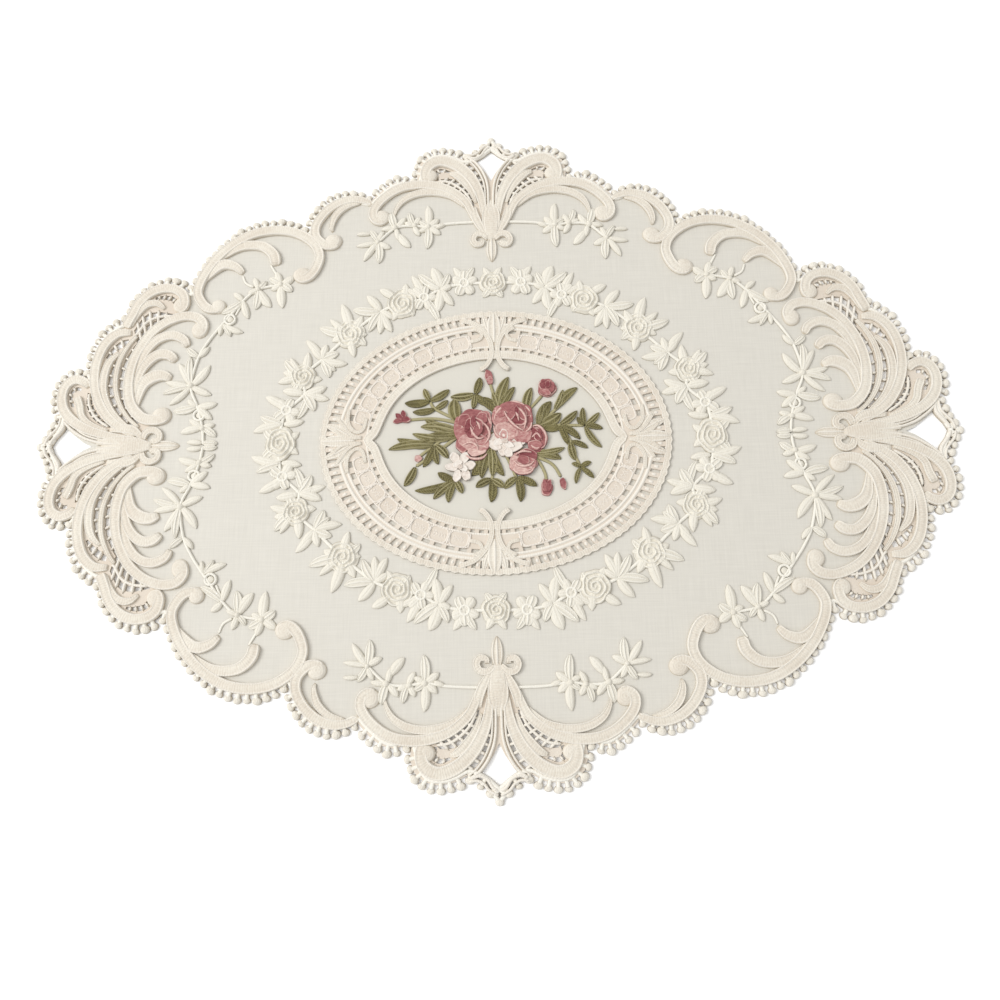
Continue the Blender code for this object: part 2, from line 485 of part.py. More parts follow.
def cluster_outline(row, belly):
    """Points round the leaves of a cluster: a valley, a side, the tip and the other side for each leaf."""
    heart = np.array((row.x, row.y))
    tips = sorted(row.leaves, key=lambda leaf: math.atan2(leaf[1] - row.y, leaf[0] - row.x))
    turns = [math.atan2(y - row.y, x - row.x) for x, y, width in tips]
    points = []
    for i, (x, y, width) in enumerate(tips):
        length = math.dist((x, y), heart)
        before = (turns[i] - turns[i - 1]) % (2 * math.pi) or 2 * math.pi
        after = (turns[(i + 1) % len(tips)] - turns[i]) % (2 * math.pi) or 2 * math.pi
        half = width * LEAF_FULLNESS / 2
        spread = math.atan2(half, belly * length)
        side = math.hypot(half, belly * length)
        for turn, reach in ((-before / 2, HEART_RADIUS), (-min(spread, before * 0.42), side), (0, length),
                            (min(spread, after * 0.42), side)):
            angle = turns[i] + turn
            points.append(heart + (reach * math.cos(angle), reach * math.sin(angle)))
    return points


def cluster(row, name, collection, slot, belly=LEAF_BELLY):
    """Leaves round a heart, as one low pyramid: their outline, drawn up to a point over the heart."""
    mesh = bpy.data.meshes.new(name)
    shape = bmesh.new()
    floor = STITCH_FLOOR * MM
    base = shape.faces.new([shape.verts.new((x * MM, y * MM, floor)) for x, y in cluster_outline(row, belly)])
    drawn = bmesh.ops.extrude_face_region(shape, geom=[base])["geom"]
    top = [item for item in drawn if isinstance(item, bmesh.types.BMVert)]
    bmesh.ops.pointmerge(shape, verts=top, merge_co=(row.x * MM, row.y * MM, floor + HEART_HEIGHT * MM))
    bmesh.ops.recalc_face_normals(shape, faces=shape.faces)
    shape.to_mesh(mesh)
    shape.free()
    mesh.materials.append(material(slot))
    made = bpy.data.objects.new(name, mesh)
    collection.objects.link(made)
    return made


def dome(name, x, y, radii, height, floor, collection, slot, sides=ROSE_SIDES, top=0.55):
    """A low round boss: a cone with its tip cut off, turned so that no corner of it lies on an axis."""
    mesh = bpy.data.meshes.new(name)
    shape = bmesh.new()
    bmesh.ops.create_cone(shape, cap_ends=True, segments=sides, radius1=1, radius2=top, depth=1)
    bmesh.ops.rotate(shape, verts=shape.verts, matrix=Matrix.Rotation(math.pi / sides, 3, "Z"))
    for vert in shape.verts:
        vert.co = ((x + vert.co.x * radii[0]) * MM, (y + vert.co.y * radii[1]) * MM,
                   (floor + (vert.co.z + 0.5) * height) * MM)
    shape.to_mesh(mesh)
    shape.free()
    mesh.materials.append(material(slot))
    made = bpy.data.objects.new(name, mesh)
    collection.objects.link(made)
    return made


def rose(row, floor, collection, slot):
    """A rose from above: a low outer whorl of petals, and a smaller, taller one inside it."""
    outer = dome(row.name, row.x, row.y, (row.radius_x, row.radius_y), 0.9, floor, collection, slot, top=0.8)
    inner = dome(row.name + "_heart", row.x, row.y, (row.radius_x * 0.55, row.radius_y * 0.55), 1.5, floor,
                 collection, slot, sides=6, top=0.6)
    return [outer, inner]


def fused(name, pieces, collection, mirror=(False, False)):
    """One body of overlapping pieces: a Boolean union, thinned of the points that its seams leave, and mirrored
    over the axes that are asked for."""
    first, rest = pieces[0], pieces[1:]
    first.name = name
    for owner in list(first.users_collection):
        owner.objects.unlink(first)
    collection.objects.link(first)
    if rest:
        operands = bpy.data.collections.new(name + "_parts")
        bpy.context.scene.collection.children.link(operands)
        operands.hide_render = True
        for piece in rest:
            for owner in list(piece.users_collection):
                owner.objects.unlink(piece)
            operands.objects.link(piece)
            piece.hide_render = True
            piece.display_type = "WIRE"
        union = first.modifiers.new("union", "BOOLEAN")
        union.operation = "UNION"
        union.solver = "EXACT"
        union.operand_type = "COLLECTION"
        union.collection = operands
    if name in KEPT_SHARES:
        thin = first.modifiers.new("thin", "DECIMATE")
        thin.ratio = KEPT_SHARES[name]
    if any(mirror):
        copy = first.modifiers.new("mirror", "MIRROR")
        copy.use_axis = (*mirror, False)
        copy.use_bisect_axis = (*mirror, False)
        copy.merge_threshold = MERGE
    return first


def turned_over(pieces, x_sign, y_sign):
    """The pieces of one quarter, turned over into another."""
    for piece in pieces:
        piece.data.transform(Matrix.Diagonal((x_sign, y_sign, 1, 1)))
        if x_sign * y_sign < 0:
            piece.data.flip_normals()
    return pieces


def lace_ground(mat):
    """The sheer voile panel with a row of picot beads along its edge, and the openwork gaps cut through."""
    beads = all_round(scallop_line(PICOT_PITCH))
    normal = outward(beads)
    middle = (beads + np.roll(beads, -1, axis=0)) / 2
    mid_normal = (normal + np.roll(normal, -1, axis=0)) / 2
    picots = np.stack((beads - normal * PICOT_ROOT, middle + mid_normal * PICOT_REACH), axis=1).reshape(-1, 2)
    gaps = [loop for corners in (DIAMOND, SIDE_DIAMOND, *OPENWORK) for loop in mirrored_corners(corners)]
    return flat_piece("lace_ground", [picots, *gaps], 0, CLOTH_THICKNESS, mat, "voile")


def stitches(rows, profile, helpers, slot, floor=STITCH_FLOOR):
    return [stitched(row.name, row.path, row.widths, profile, floor, helpers, slot) for row in rows]


def clusters(name, rows, helpers, slot, belly=LEAF_BELLY):
    return [cluster(row, f"{name}_{i}", helpers, slot, belly) for i, row in enumerate(rows)]


def knobs(name, rows, helpers, slot):
    return [dome(f"{name}_{i}", row.x, row.y, (row.radius, row.radius), KNOB_HEIGHT, STITCH_FLOOR, helpers, slot,
                 sides=6) for i, row in enumerate(rows)]


def scroll_border(helpers, ridge):
    """All the padded scrolls, fronds, hubs and diamond cords of the rim, stitched into one lace band."""
    slot = "cream_thread"
    pieces = stitches(SCROLLS, ridge, helpers, slot)
    for name, plate in (("hub", HUB_PLATE), ("side_hub", SIDE_HUB_PLATE)):
        pieces.append(flat_piece(name, [plate], STITCH_FLOOR, PLATE_THICKNESS, helpers, slot))
    return "scroll_border", pieces, (True, True)


def spray(name, x_sign, y_sign, helpers, ridge):
    """The flower spray beside an end hub, in one quarter."""
    slot = "cream_thread"
    pieces = stitches(SPRAY_STEMS, ridge, helpers, slot) + clusters("spray_leaves", SPRAY_CLUSTERS, helpers, slot)
    pieces += knobs("spray_knob", SPRAY_KNOBS, helpers, slot)
    return name, turned_over(pieces, x_sign, y_sign), (False, False)


def garland(name, x_sign, y_sign, helpers, ridge):
    """The leafy garland down one side: the stem, leaves and berries of one half, mirrored over the middle."""
    slot = "cream_thread"
    pieces = stitches(GARLAND_STEMS, ridge, helpers, slot)
    pieces += clusters("garland_leaves", GARLAND_CLUSTERS, helpers, slot)
    pieces += knobs("garland_knob", GARLAND_KNOBS, helpers, slot)
    return name, turned_over(pieces, x_sign, y_sign), (False, True)


def rose_wreath(helpers, ridge):
    """The wreath of roses, small flowers and leaves round the frame, on one stem."""
    slot = "cream_thread"
    pieces = stitches(WREATH_STEMS, ridge, helpers, slot)
    pieces += clusters("wreath_leaves", WREATH_CLUSTERS, helpers, slot)
    pieces += clusters("wreath_flower", WREATH_FLOWERS, helpers, slot, PETAL_BELLY)
    pieces += knobs("wreath_knob", WREATH_KNOBS, helpers, slot)
    pieces += [dome(row.name, row.x, row.y, (row.radius_x, row.radius_y), ROSE_HEIGHT, STITCH_FLOOR, helpers, slot)
               for row in WREATH_ROSES]
    return "rose_wreath", pieces, (True, True)


def oval_frame(helpers, ridge):
    """The lace band round the middle: one oval ring with raised cords, and a lily at each axis."""
    slot = "cream_thread"
    opening, rim = np.array(FRAME_OPENING), np.array(FRAME_RIM)
    turn = (np.arange(OVAL_SIDES) + 0.5) * 2 * math.pi / OVAL_SIDES
    line = np.stack((np.sin(turn), np.cos(turn)), axis=1) * (opening + rim) / 2
    widths = np.abs(np.sin(turn)) ** 2 * (rim - opening)[0] + np.cos(turn) ** 2 * (rim - opening)[1]
    band = section("frame_section", FRAME_SECTION, helpers)
    pieces = [stitched("ring", line, widths, band, STITCH_FLOOR, helpers, slot, closed=True)]
    pieces += stitches(FRAME_ORNAMENTS, ridge, helpers, slot, STITCH_FLOOR + FRAME_STEP)
    for i, plate in enumerate(FRAME_PLATES):
        pieces.append(flat_piece(f"frame_petal_{i}", [plate], STITCH_FLOOR + FRAME_STEP, PLATE_THICKNESS, helpers, slot))
    return "oval_frame", pieces, (True, True)


def foliage(helpers, ridge):
    """The green part of the bouquet: its stems and leaves, in one spray."""
    slot = "leaf_thread"
    pieces = stitches(BOUQUET_STEMS, ridge, helpers, slot)
    pieces += clusters("bouquet_leaves", BOUQUET_CLUSTERS, helpers, slot)
    return "bouquet_foliage", pieces, (False, False)


def blooms(helpers):
    """The roses and blossoms stitched over the foliage."""
    for row in BOUQUET_BLOOMS:
        thread = "white_thread" if row.name.startswith("blossom") else "rose_thread"
        yield row.name, rose(row, BLOOM_FLOOR, helpers, thread), (False, False)


def buds(mat):
    """The buds stitched over the tips of the foliage."""
    for row in BOUQUET_BUDS:
        dome(row.name, row.x, row.y, (row.radius_x, row.radius_y), BUD_HEIGHT, BUD_FLOOR, mat, "rose_thread", sides=6)


def main():
    clear_scene()
    mat = new_collection("lace_placemat")
    helpers = new_collection("helpers")
    helpers.hide_render = True
    ridge = section("ridge_section", ((-1, 0), (0, STITCH_CROWN), (1, 0)), helpers)
    lace_ground(mat)
    buds(mat)
    bodies = [scroll_border(helpers, ridge), rose_wreath(helpers, ridge), oval_frame(helpers, ridge)]
    bodies += [spray(*row, helpers, ridge) for row in SPRAYS]
    bodies += [garland(*row, helpers, ridge) for row in GARLANDS]
    bodies += [foliage(helpers, ridge), *blooms(helpers)]
    for name, pieces, mirror in bodies:
        fused(name, pieces, mat, mirror)


if __name__ == "__main__":
    main()
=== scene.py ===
import math

import bmesh
import bpy
import numpy as np
from mathutils import Euler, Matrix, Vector
from mathutils.geometry import delaunay_2d_cdt


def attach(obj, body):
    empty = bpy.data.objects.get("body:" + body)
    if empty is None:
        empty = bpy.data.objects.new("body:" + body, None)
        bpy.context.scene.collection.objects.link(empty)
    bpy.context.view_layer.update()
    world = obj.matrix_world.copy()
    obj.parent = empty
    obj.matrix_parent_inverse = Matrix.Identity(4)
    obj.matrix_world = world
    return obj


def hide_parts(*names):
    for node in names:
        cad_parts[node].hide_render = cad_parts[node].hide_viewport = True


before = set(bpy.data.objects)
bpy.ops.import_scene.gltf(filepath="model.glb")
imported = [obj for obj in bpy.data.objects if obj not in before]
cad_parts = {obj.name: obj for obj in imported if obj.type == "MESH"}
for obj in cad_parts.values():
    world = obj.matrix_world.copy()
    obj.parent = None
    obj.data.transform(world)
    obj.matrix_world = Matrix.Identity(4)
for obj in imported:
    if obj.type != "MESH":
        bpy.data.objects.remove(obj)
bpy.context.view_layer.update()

MM = 0.001

# The studio: the mat lies on a plain white table top, under one broad soft light from the left and the even
# light of a pale room. The camera stands over the near edge and looks down, as in the photograph.


def linear(code):
    """The linear colour of an sRGB hex code such as #F2EADF."""
    part = np.array([int(code[i:i + 2], 16) for i in (1, 3, 5)]) / 255
    low, high = part / 12.92, ((part + 0.055) / 1.055) ** 2.4
    return (*np.where(part <= 0.04045, low, high).tolist(), 1.0)


def empty_material(name, **settings):
    """A new material with only its Principled shader in it, whose sockets are set by name."""
    made = bpy.data.materials.new(name)
    made.use_nodes = True
    shader = made.node_tree.nodes["Principled BSDF"]
    for key, value in settings.items():
        shader.inputs[key.replace("_", " ")].default_value = value
    return made, made.node_tree, shader


def placed(name, data):
    """A new object in the scene."""
    made = bpy.data.objects.new(name, data)
    bpy.context.collection.objects.link(made)
    return made


camera_data = bpy.data.cameras.new("camera")
camera_data.lens, camera_data.sensor_width = 28.8, 36
camera = placed("camera", camera_data)
camera.location = Vector((9.5, -119.0, 371.9)) * MM
camera.rotation_euler = Euler([math.radians(a) for a in (13.41, 1.31, -0.76)])
bpy.context.scene.camera = camera
bpy.context.scene.view_settings.view_transform = "Standard"

top_mesh = bpy.data.meshes.new("table_top")
top_mesh.from_pydata([(-4, -4, 0), (4, -4, 0), (4, 4, 0), (-4, 4, 0)], [], [(0, 1, 2, 3)])
top_mesh.materials.append(empty_material("matt_white_board", Base_Color=linear("#FEFEFE"), Roughness=0.9,
                                         Specular_IOR_Level=0.1)[0])
table_top = placed("table_top", top_mesh)

room = bpy.data.worlds.new("pale_room")
room.use_nodes = True
backdrop = room.node_tree.nodes["Background"].inputs
backdrop["Color"].default_value, backdrop["Strength"].default_value = linear("#FFFFFF"), 0.73
bpy.context.scene.world = room
for name, place, size, power in (("left_softbox", (-2.0, 0.2, 2.0), 1.1, 36),
                                 ("near_softbox", (-0.85, 0.2, 1.3), 1.0, 5.9)):
    lamp_data = bpy.data.lights.new(name, "AREA")
    lamp_data.size, lamp_data.energy = size, power
    lamp = placed(name, lamp_data)
    lamp.location = place
    lamp.rotation_euler = (-Vector(place)).to_track_quat("-Z", "Y").to_euler()

# The picot edge: a cord with a row of knotted picots along it, held off the scrolls by short bars. It is worked
# in cotton on a schiffli machine, over the edge of the voile, and leaves a small gap between every two bars.
SCALLOPS = (
    ((0, 166.6), (4.2, 163.4), (8.6, 159.8), (13, 157.6)),
    ((13, 157.6), (19.5, 160.8), (27.5, 161.8), (34, 159.8), (38.3, 154.8), (40.3, 149), (41, 143.6)),
    ((41, 143.6), (46.5, 146), (52.5, 144.6), (58, 140.8), (62, 137), (64.5, 134.3)),
    ((64.5, 134.3), (70.5, 137), (77.5, 137.6), (84.5, 135.3), (89.8, 130.8), (93.6, 125), (97.3, 116.8)),
    ((97.3, 116.8), (102, 120), (109, 121.6), (117, 121.6), (124.5, 119.6), (132, 115.7), (138.8, 110),
     (145.2, 102.8), (150.2, 95.3), (155.3, 85)),
    ((155.3, 85), (160, 88.3), (167, 89.7), (173.8, 88), (179.7, 83.8), (184.2, 77.8), (188.2, 68.6)),
    ((188.2, 68.6), (193.3, 65.8), (198, 61.3), (201.5, 55.4), (203.9, 48), (204.4, 38.6)),
    ((204.4, 38.6), (209.4, 40), (214.3, 38.5), (218.4, 33.4), (220.2, 27), (219.7, 20.5), (217.6, 15.2)),
    ((217.6, 15.2), (218.6, 10.6), (221.1, 5.6), (223.8, 0)),
)
PICOT_PITCH = 4.6
PICOT_RADII, PICOT_HEIGHT = (1.65, 2.05), 1.8
BAR_FROM, BAR_TO, CORD_INSET = 0.8, 4.0, 4.3
BASE = 0.1
WIDE_END = 2
QUARTERS = ((1, 1), (-1, 1), (-1, -1), (1, -1))
BOTH_ENDS, BACK_AND_FRONT = ((1, 1), (-1, 1)), ((1, 1), (1, -1))


def smooth(points, step=1.0, closed=False):
    """Catmull-Rom curve through the points: each stretch is the cubic that leaves a point towards the next but
    one, sampled about a step apart."""
    p = np.array(points, float)
    ends = np.vstack((p[-1:], p, p[:2])) if closed else np.vstack((2 * p[0] - p[1], p, 2 * p[-1] - p[-2]))
    runs = []
    for a, b, c, d in zip(ends, ends[1:], ends[2:], ends[3:]):
        count = max(2, round(float(np.linalg.norm((c - b)[:2])) / step))
        t = np.arange(count)[:, None] / count
        runs.append(0.5 * (2 * b + (c - a) * t + (2 * a - 5 * b + 4 * c - d) * t**2
                           + (3 * b - a - 3 * c + d) * t**3))
    return np.vstack(runs) if closed else np.vstack((*runs, p[-1:]))


def distances(line):
    """How far along a line each of its points lies."""
    return np.concatenate(([0], np.cumsum(np.linalg.norm(np.diff(line, axis=0), axis=1))))


def spaced(line, pitch):
    """Points along a line, equal steps of about the pitch apart."""
    run = distances(line)
    at = np.linspace(0, run[-1], max(2, round(run[-1] / pitch) + 1))
    return np.stack([np.interp(at, run, line[:, i]) for i in range(line.shape[1])], axis=1)


def scalloped(pitch):
    """A quarter of the mat's edge, in points about the pitch apart."""
    runs = [spaced(smooth(row, 0.4), pitch) for row in SCALLOPS]
    return np.vstack([run[:-1] for run in runs] + [runs[-1][-1:]])


def sideways(line, closed=False):
    """Unit vectors to the left of a line's direction."""
    along = np.roll(line, -1, axis=0) - np.roll(line, 1, axis=0)
    if not closed:
        along[0], along[-1] = line[1] - line[0], line[-1] - line[-2]
    side = np.stack((-along[:, 1], along[:, 0]), axis=1)
    return side / np.maximum(np.linalg.norm(side, axis=1), 1e-9)[:, None]


def section(rows):
    """A stitch's section from rows of the share of the half width, the share of the height, and how much the row
    belongs to the raised rim. It is mirrored to the other side; the last face runs flat below."""
    half = np.array(rows, float)
    return np.vstack((half * (-1, 1, 1), half[-2::-1] if half[-1, 0] == 0 else half[::-1]))


SATIN = section(((1, 0, 0), (1, 0.45, 0.4), (0.94, 0.8, 1), (0.83, 0.97, 1), (0.72, 0.9, 0.6), (0.6, 0.84, 0),
                 (0.3, 0.92, 0), (0, 0.96, 0)))
CORD = section(((1, 0, 1), (1, 0.5, 1), (0.7, 0.86, 1), (0, 1, 1)))


def lattice(rows, columns, closed=False):
    """The quads of a grid of points. Each row closes into a ring, and the last row meets the first if asked."""
    place = np.arange(rows * columns).reshape(rows, columns)
    if closed:
        place = np.vstack((place, place[:1]))
    beside = np.roll(place, -1, axis=1)
    return np.stack((place[:-1], beside[:-1], beside[1:], place[1:]), axis=-1).reshape(-1, 4)


def carried(points, widths, profile, floor, height, step=1.0, closed=False, blunt=(1.0, 1.0)):
    """A section carried along a curve, as wide as one number or one for each point says. At a distance s along
    it, each row of the section lies its share of the half width to the side and its share of the height up, and
    near an end both shrink as a quarter circle does. A wide first end has three extra rows for that.
    Returns the points, the quads, and for each point s, the way across in millimetres and the rim share."""
    path = smooth(np.column_stack((points, np.broadcast_to(widths, len(points)))), step, closed)
    if path[0, 2] * blunt[0] > WIDE_END and not closed:
        path = np.vstack((path[:1], path[0] + (path[1] - path[0]) * np.array(((0.08,), (0.3,), (0.6,))), path[1:]))
    line, half = path[:, :2], np.maximum(path[:, 2], 0.05) / 2
    run = distances(line)
    shrink = np.ones(len(line))
    if not closed:
        for reach, away in ((half[0] * blunt[0], run), (half[-1] * blunt[1], run[-1] - run)):
            if reach > 0:
                shrink = np.minimum(shrink, np.sqrt(np.clip(1 - (1 - np.minimum(away / reach, 1)) ** 2, 0, 1)))
    side = sideways(line, closed)
    across = profile[:, 0][None, :] * (half * shrink)[:, None]
    x, y = (line[:, i][:, None] + side[:, i][:, None] * across for i in (0, 1))
    z = floor + profile[:, 1][None, :] * height * (shrink * np.minimum(half / half.max(), 1) ** 0.4)[:, None]
    marks = np.stack((np.broadcast_to(run[:, None], across.shape), across,
                      np.broadcast_to(profile[:, 2][None, :], across.shape)), axis=-1)
    return np.stack((x, y, z), axis=-1).reshape(-1, 3), lattice(*across.shape, closed), marks.reshape(-1, 3)


def closed_below(points, marks, centre):
    """A part from rings of points, from its rim up to its crown, closed from the rim to a centre below."""
    rings, sides = points.shape[:2]
    low = np.vstack((points[0], np.zeros((sides, 3)) + centre))
    return (np.vstack((points.reshape(-1, 3), low)),
            np.vstack((lattice(rings, sides), lattice(2, sides)[:, ::-1] + rings * sides)),
            np.vstack((marks.reshape(-1, 3), np.zeros((2 * sides, 3)))))


def full_turn(count):
    """Angles that step evenly once round."""
    return np.arange(count) * 2 * math.pi / count


def in_quarters(parts, signs=QUARTERS):
    """The parts of one quarter, turned over into the others, or into those that the signs name."""
    turned = []
    for x, y in signs:
        for points, quads, marks in parts:
            turned.append((points * (x, y, 1), quads if x * y > 0 else quads[:, ::-1], marks))
    return turned


def settled(points):
    """The small unevenness of a worked cloth: each point shifts by slow waves, half a millimetre at most."""
    x, y = points[:, 0], points[:, 1]
    shift = np.stack((0.3 * np.sin(y / 31 + 0.7) + 0.2 * np.sin(x / 19 + y / 27),
                      0.3 * np.sin(x / 37 + 1.9) + 0.2 * np.sin(y / 17 - x / 29), 0 * x), axis=1)
    return points + shift


def dressed(name, mesh, material, node_names):
    """A mesh as a piece of the mat: it rides the body and replaces its solids."""
    mesh.materials.append(material)
    made = placed(name, mesh)
    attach(made, "root")
    if node_names:
        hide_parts(*node_names)
    return made


def piece(name, parts, material, node_names=()):
    """One mesh of many stitched parts, with its stitch coordinates as a UV map and its rim share as an
    attribute. The collapsed ends are merged."""
    starts = np.cumsum([0] + [len(p[0]) for p in parts])
    points = settled(np.vstack([p[0] for p in parts])) * MM
    quads = np.vstack([p[1] + start for p, start in zip(parts, starts)])
    marks = np.vstack([p[2] for p in parts])
    mesh = bpy.data.meshes.new(name)
    mesh.vertices.add(len(points))
    mesh.vertices.foreach_set("co", points.ravel())
    mesh.loops.add(quads.size)
    mesh.loops.foreach_set("vertex_index", quads.ravel())
    mesh.polygons.add(len(quads))
    mesh.polygons.foreach_set("loop_start", np.arange(0, quads.size, 4))
    mesh.update(calc_edges=True)
    thread = mesh.uv_layers.new(name="thread")
    thread.data.foreach_set("uv", marks[quads.ravel(), :2].ravel())
    rim = mesh.attributes.new("rim", "FLOAT", "POINT")
    rim.data.foreach_set("value", np.ascontiguousarray(marks[:, 2]))
    weld = bmesh.new()
    weld.from_mesh(mesh)
    bmesh.ops.remove_doubles(weld, verts=weld.verts, dist=1e-6)
    bmesh.ops.recalc_face_normals(weld, faces=weld.faces)
    weld.to_mesh(mesh)
    weld.free()
    mesh.polygons.foreach_set("use_smooth", np.ones(len(mesh.polygons), bool))
    return dressed(name, mesh, material, node_names)


def node(tree, kind, links=(), **settings):
    """Add a node, set its properties or its sockets by name, and feed its inputs: another node's output is
    linked, and a number or a colour's hex code is set."""
    made = tree.nodes.new(kind)
    for key, value in settings.items():
        if hasattr(made, key):
            setattr(made, key, value)
        else:
            made.inputs[key.replace("_", " ")].default_value = value
    for socket, value in links:
        if isinstance(value, bpy.types.NodeSocket):
            tree.links.new(value, made.inputs[socket])
        else:
            made.inputs[socket].default_value = linear(value) if isinstance(value, str) else value
    return made


def maths(tree, operation, *values):
    """The result of a Math node."""
    return node(tree, "ShaderNodeMath", enumerate(values), operation=operation).outputs[0]


def mixed(tree, factor, first, second):
    """The colour that lies a factor of the way from the first colour to the second."""
    return node(tree, "ShaderNodeMix", (("Factor", factor), (6, first), (7, second)), data_type="RGBA").outputs[2]


def ranged(tree, value, low, high, **to):
    """A value's share of the way from low to high."""
    return node(tree, "ShaderNodeMapRange", [("Value", value)], From_Min=low, From_Max=high, **to).outputs["Result"]


def noise(tree, place, scale, detail, **settings):
    """The result of a Noise node."""
    return node(tree, "ShaderNodeTexNoise", [("Vector", place)], Scale=scale, Detail=detail,
                **settings).outputs["Fac"]


def stitch_marks(tree):
    """The place on the mat, the stitch coordinates and the rim share."""
    return (node(tree, "ShaderNodeTexCoord").outputs["Object"],
            node(tree, "ShaderNodeUVMap", uv_map="thread").outputs["UV"],
            node(tree, "ShaderNodeAttribute", attribute_name="rim").outputs["Fac"])


def painted(tree, shader, colour, height, strength, distance):
    """Give a shader its colour, and the bump of a height."""
    bump = node(tree, "ShaderNodeBump", [("Height", height)], Strength=strength, Distance=distance)
    tree.links.new(colour, shader.inputs["Base Color"])
    tree.links.new(bump.outputs["Normal"], shader.inputs["Normal"])


STITCH_BUMP = 0.0006


def thread_material(name, fill, rim, shade, painted_foot_shade, shade_levels=(0.9, 1.7), pitch=1.15, slant=0.0, depth=0.5, streak=0.12):
    """Mercerised cotton worked in satin stitch: matt, with a soft sheen, and stitches side by side that are
    drawn coarser than the real 0.3 mm so that they show. The raised rim is the palest, and the dye and the nap vary
    over the cloth. Below the shade levels every stitch fades into the foot colour, which is painted shade at the foot
    of the stitches and down the walls of the gaps."""
    made, tree, shader = empty_material(name, Roughness=0.75, Specular_IOR_Level=0.2, Sheen_Weight=0.1,
                                        Sheen_Roughness=0.5)
    at, along, share = stitch_marks(tree)
    cloud, grain = noise(tree, at, 60.0, 3.0), noise(tree, at, 950.0, 3.0)
    split = node(tree, "ShaderNodeSeparateXYZ", [("Vector", along)]).outputs
    leaned = maths(tree, "MULTIPLY_ADD", maths(tree, "ABSOLUTE", split["Y"]), slant, split["X"])
    turns = maths(tree, "MULTIPLY", leaned, 2 * math.pi / pitch)
    ridge = maths(tree, "SINE", maths(tree, "MULTIPLY_ADD", grain, 7.0, turns))
    streaked = maths(tree, "MULTIPLY_ADD", ridge, streak, maths(tree, "ADD", cloud, grain))
    dye = mixed(tree, ranged(tree, streaked, 0.7, 1.3), shade, fill)
    level = node(tree, "ShaderNodeSeparateXYZ", [("Vector", at)]).outputs["Z"]
    # Below the two levels the colour fades into the foot colour: painted shade at the foot of the stitches and down
    # the walls of the gaps.
    rise = ranged(tree, level, shade_levels[0] * MM, shade_levels[1] * MM)
    painted(tree, shader, mixed(tree, rise, painted_foot_shade, mixed(tree, share, dye, rim)),
            maths(tree, "MULTIPLY_ADD", ridge, 0.12, grain), depth, STITCH_BUMP)
    return made


# The fourth colour of each cotton is painted shade, laid on below the two levels that follow it: at the foot of the
# stitches, on the walls of the ladder gaps and frame pits, and under the beads and bars.
cream_cotton = thread_material("cream_satin_stitch", "#E1DBCE", "#E5DFD4", "#D3C9BA", "#C3B7A3", (0.9, 2.0))
net_cotton = thread_material("cream_net_fill", "#DFD6C9", "#E4DCD1", "#D0C4B5", "#C2B7A5", (0.5, 1.15), pitch=1.4,
                             depth=0.8)
cord_cotton = thread_material("cream_cord", "#E6E1D6", "#EBE7DD", "#D9D2C4", "#B8AD9B", (0.4, 1.5), pitch=1.5,
                              slant=1.0)


def boss(x, y, radii, floor, height, turn=0.0, rings=4, sides=12, flat=0.55):
    """A round knot: rings of an ellipse that rise as a dome does, from the rim at the floor to the crown."""
    share = np.linspace(0, 1, rings + 1)
    reach = np.cos(share * math.pi / 2) ** flat
    reach[-1] = 0
    angle, all_round = full_turn(sides), np.ones(sides)
    cos, sin = np.cos(turn), np.sin(turn)
    px, py = np.outer(reach, np.cos(angle)) * radii[0], np.outer(reach, np.sin(angle)) * radii[1]
    points = np.stack((x + px * cos - py * sin, y + px * sin + py * cos,
                       floor + np.outer(np.sin(share * math.pi / 2), all_round) * height), axis=-1)
    marks = np.stack((np.outer(reach, all_round) * radii[0], py, np.outer(1 - share, all_round) * 0.6), axis=-1)
    return closed_below(points, marks, (x, y, floor))


quarter_edge = scalloped(PICOT_PITCH)
edge_side = sideways(quarter_edge)
picots = []
for i, ((x, y), (nx, ny)) in enumerate(zip(quarter_edge, edge_side)):
    size, out = 1 + 0.11 * math.sin(2.3 * i) + 0.07 * math.sin(5.1 * i), 0.2 * math.sin(3.7 * i)
    picots.append(boss(x + nx * out, y + ny * out, [radius * size for radius in PICOT_RADII], BASE,
                       PICOT_HEIGHT * size, math.atan2(ny, nx) + 0.4 * math.sin(i)))
    picots.append(carried([(x - nx * away, y - ny * away) for away in (BAR_FROM, BAR_TO)], 2.0, CORD, BASE, 1.7,
                          step=2.0, blunt=(0, 0)))
picots.append(carried(quarter_edge - edge_side * CORD_INSET, 2.0, CORD, BASE, 2.2, step=2.0, blunt=(0, 0)))
picot_edge = piece("picot_edge", in_quarters(picots), cord_cotton)

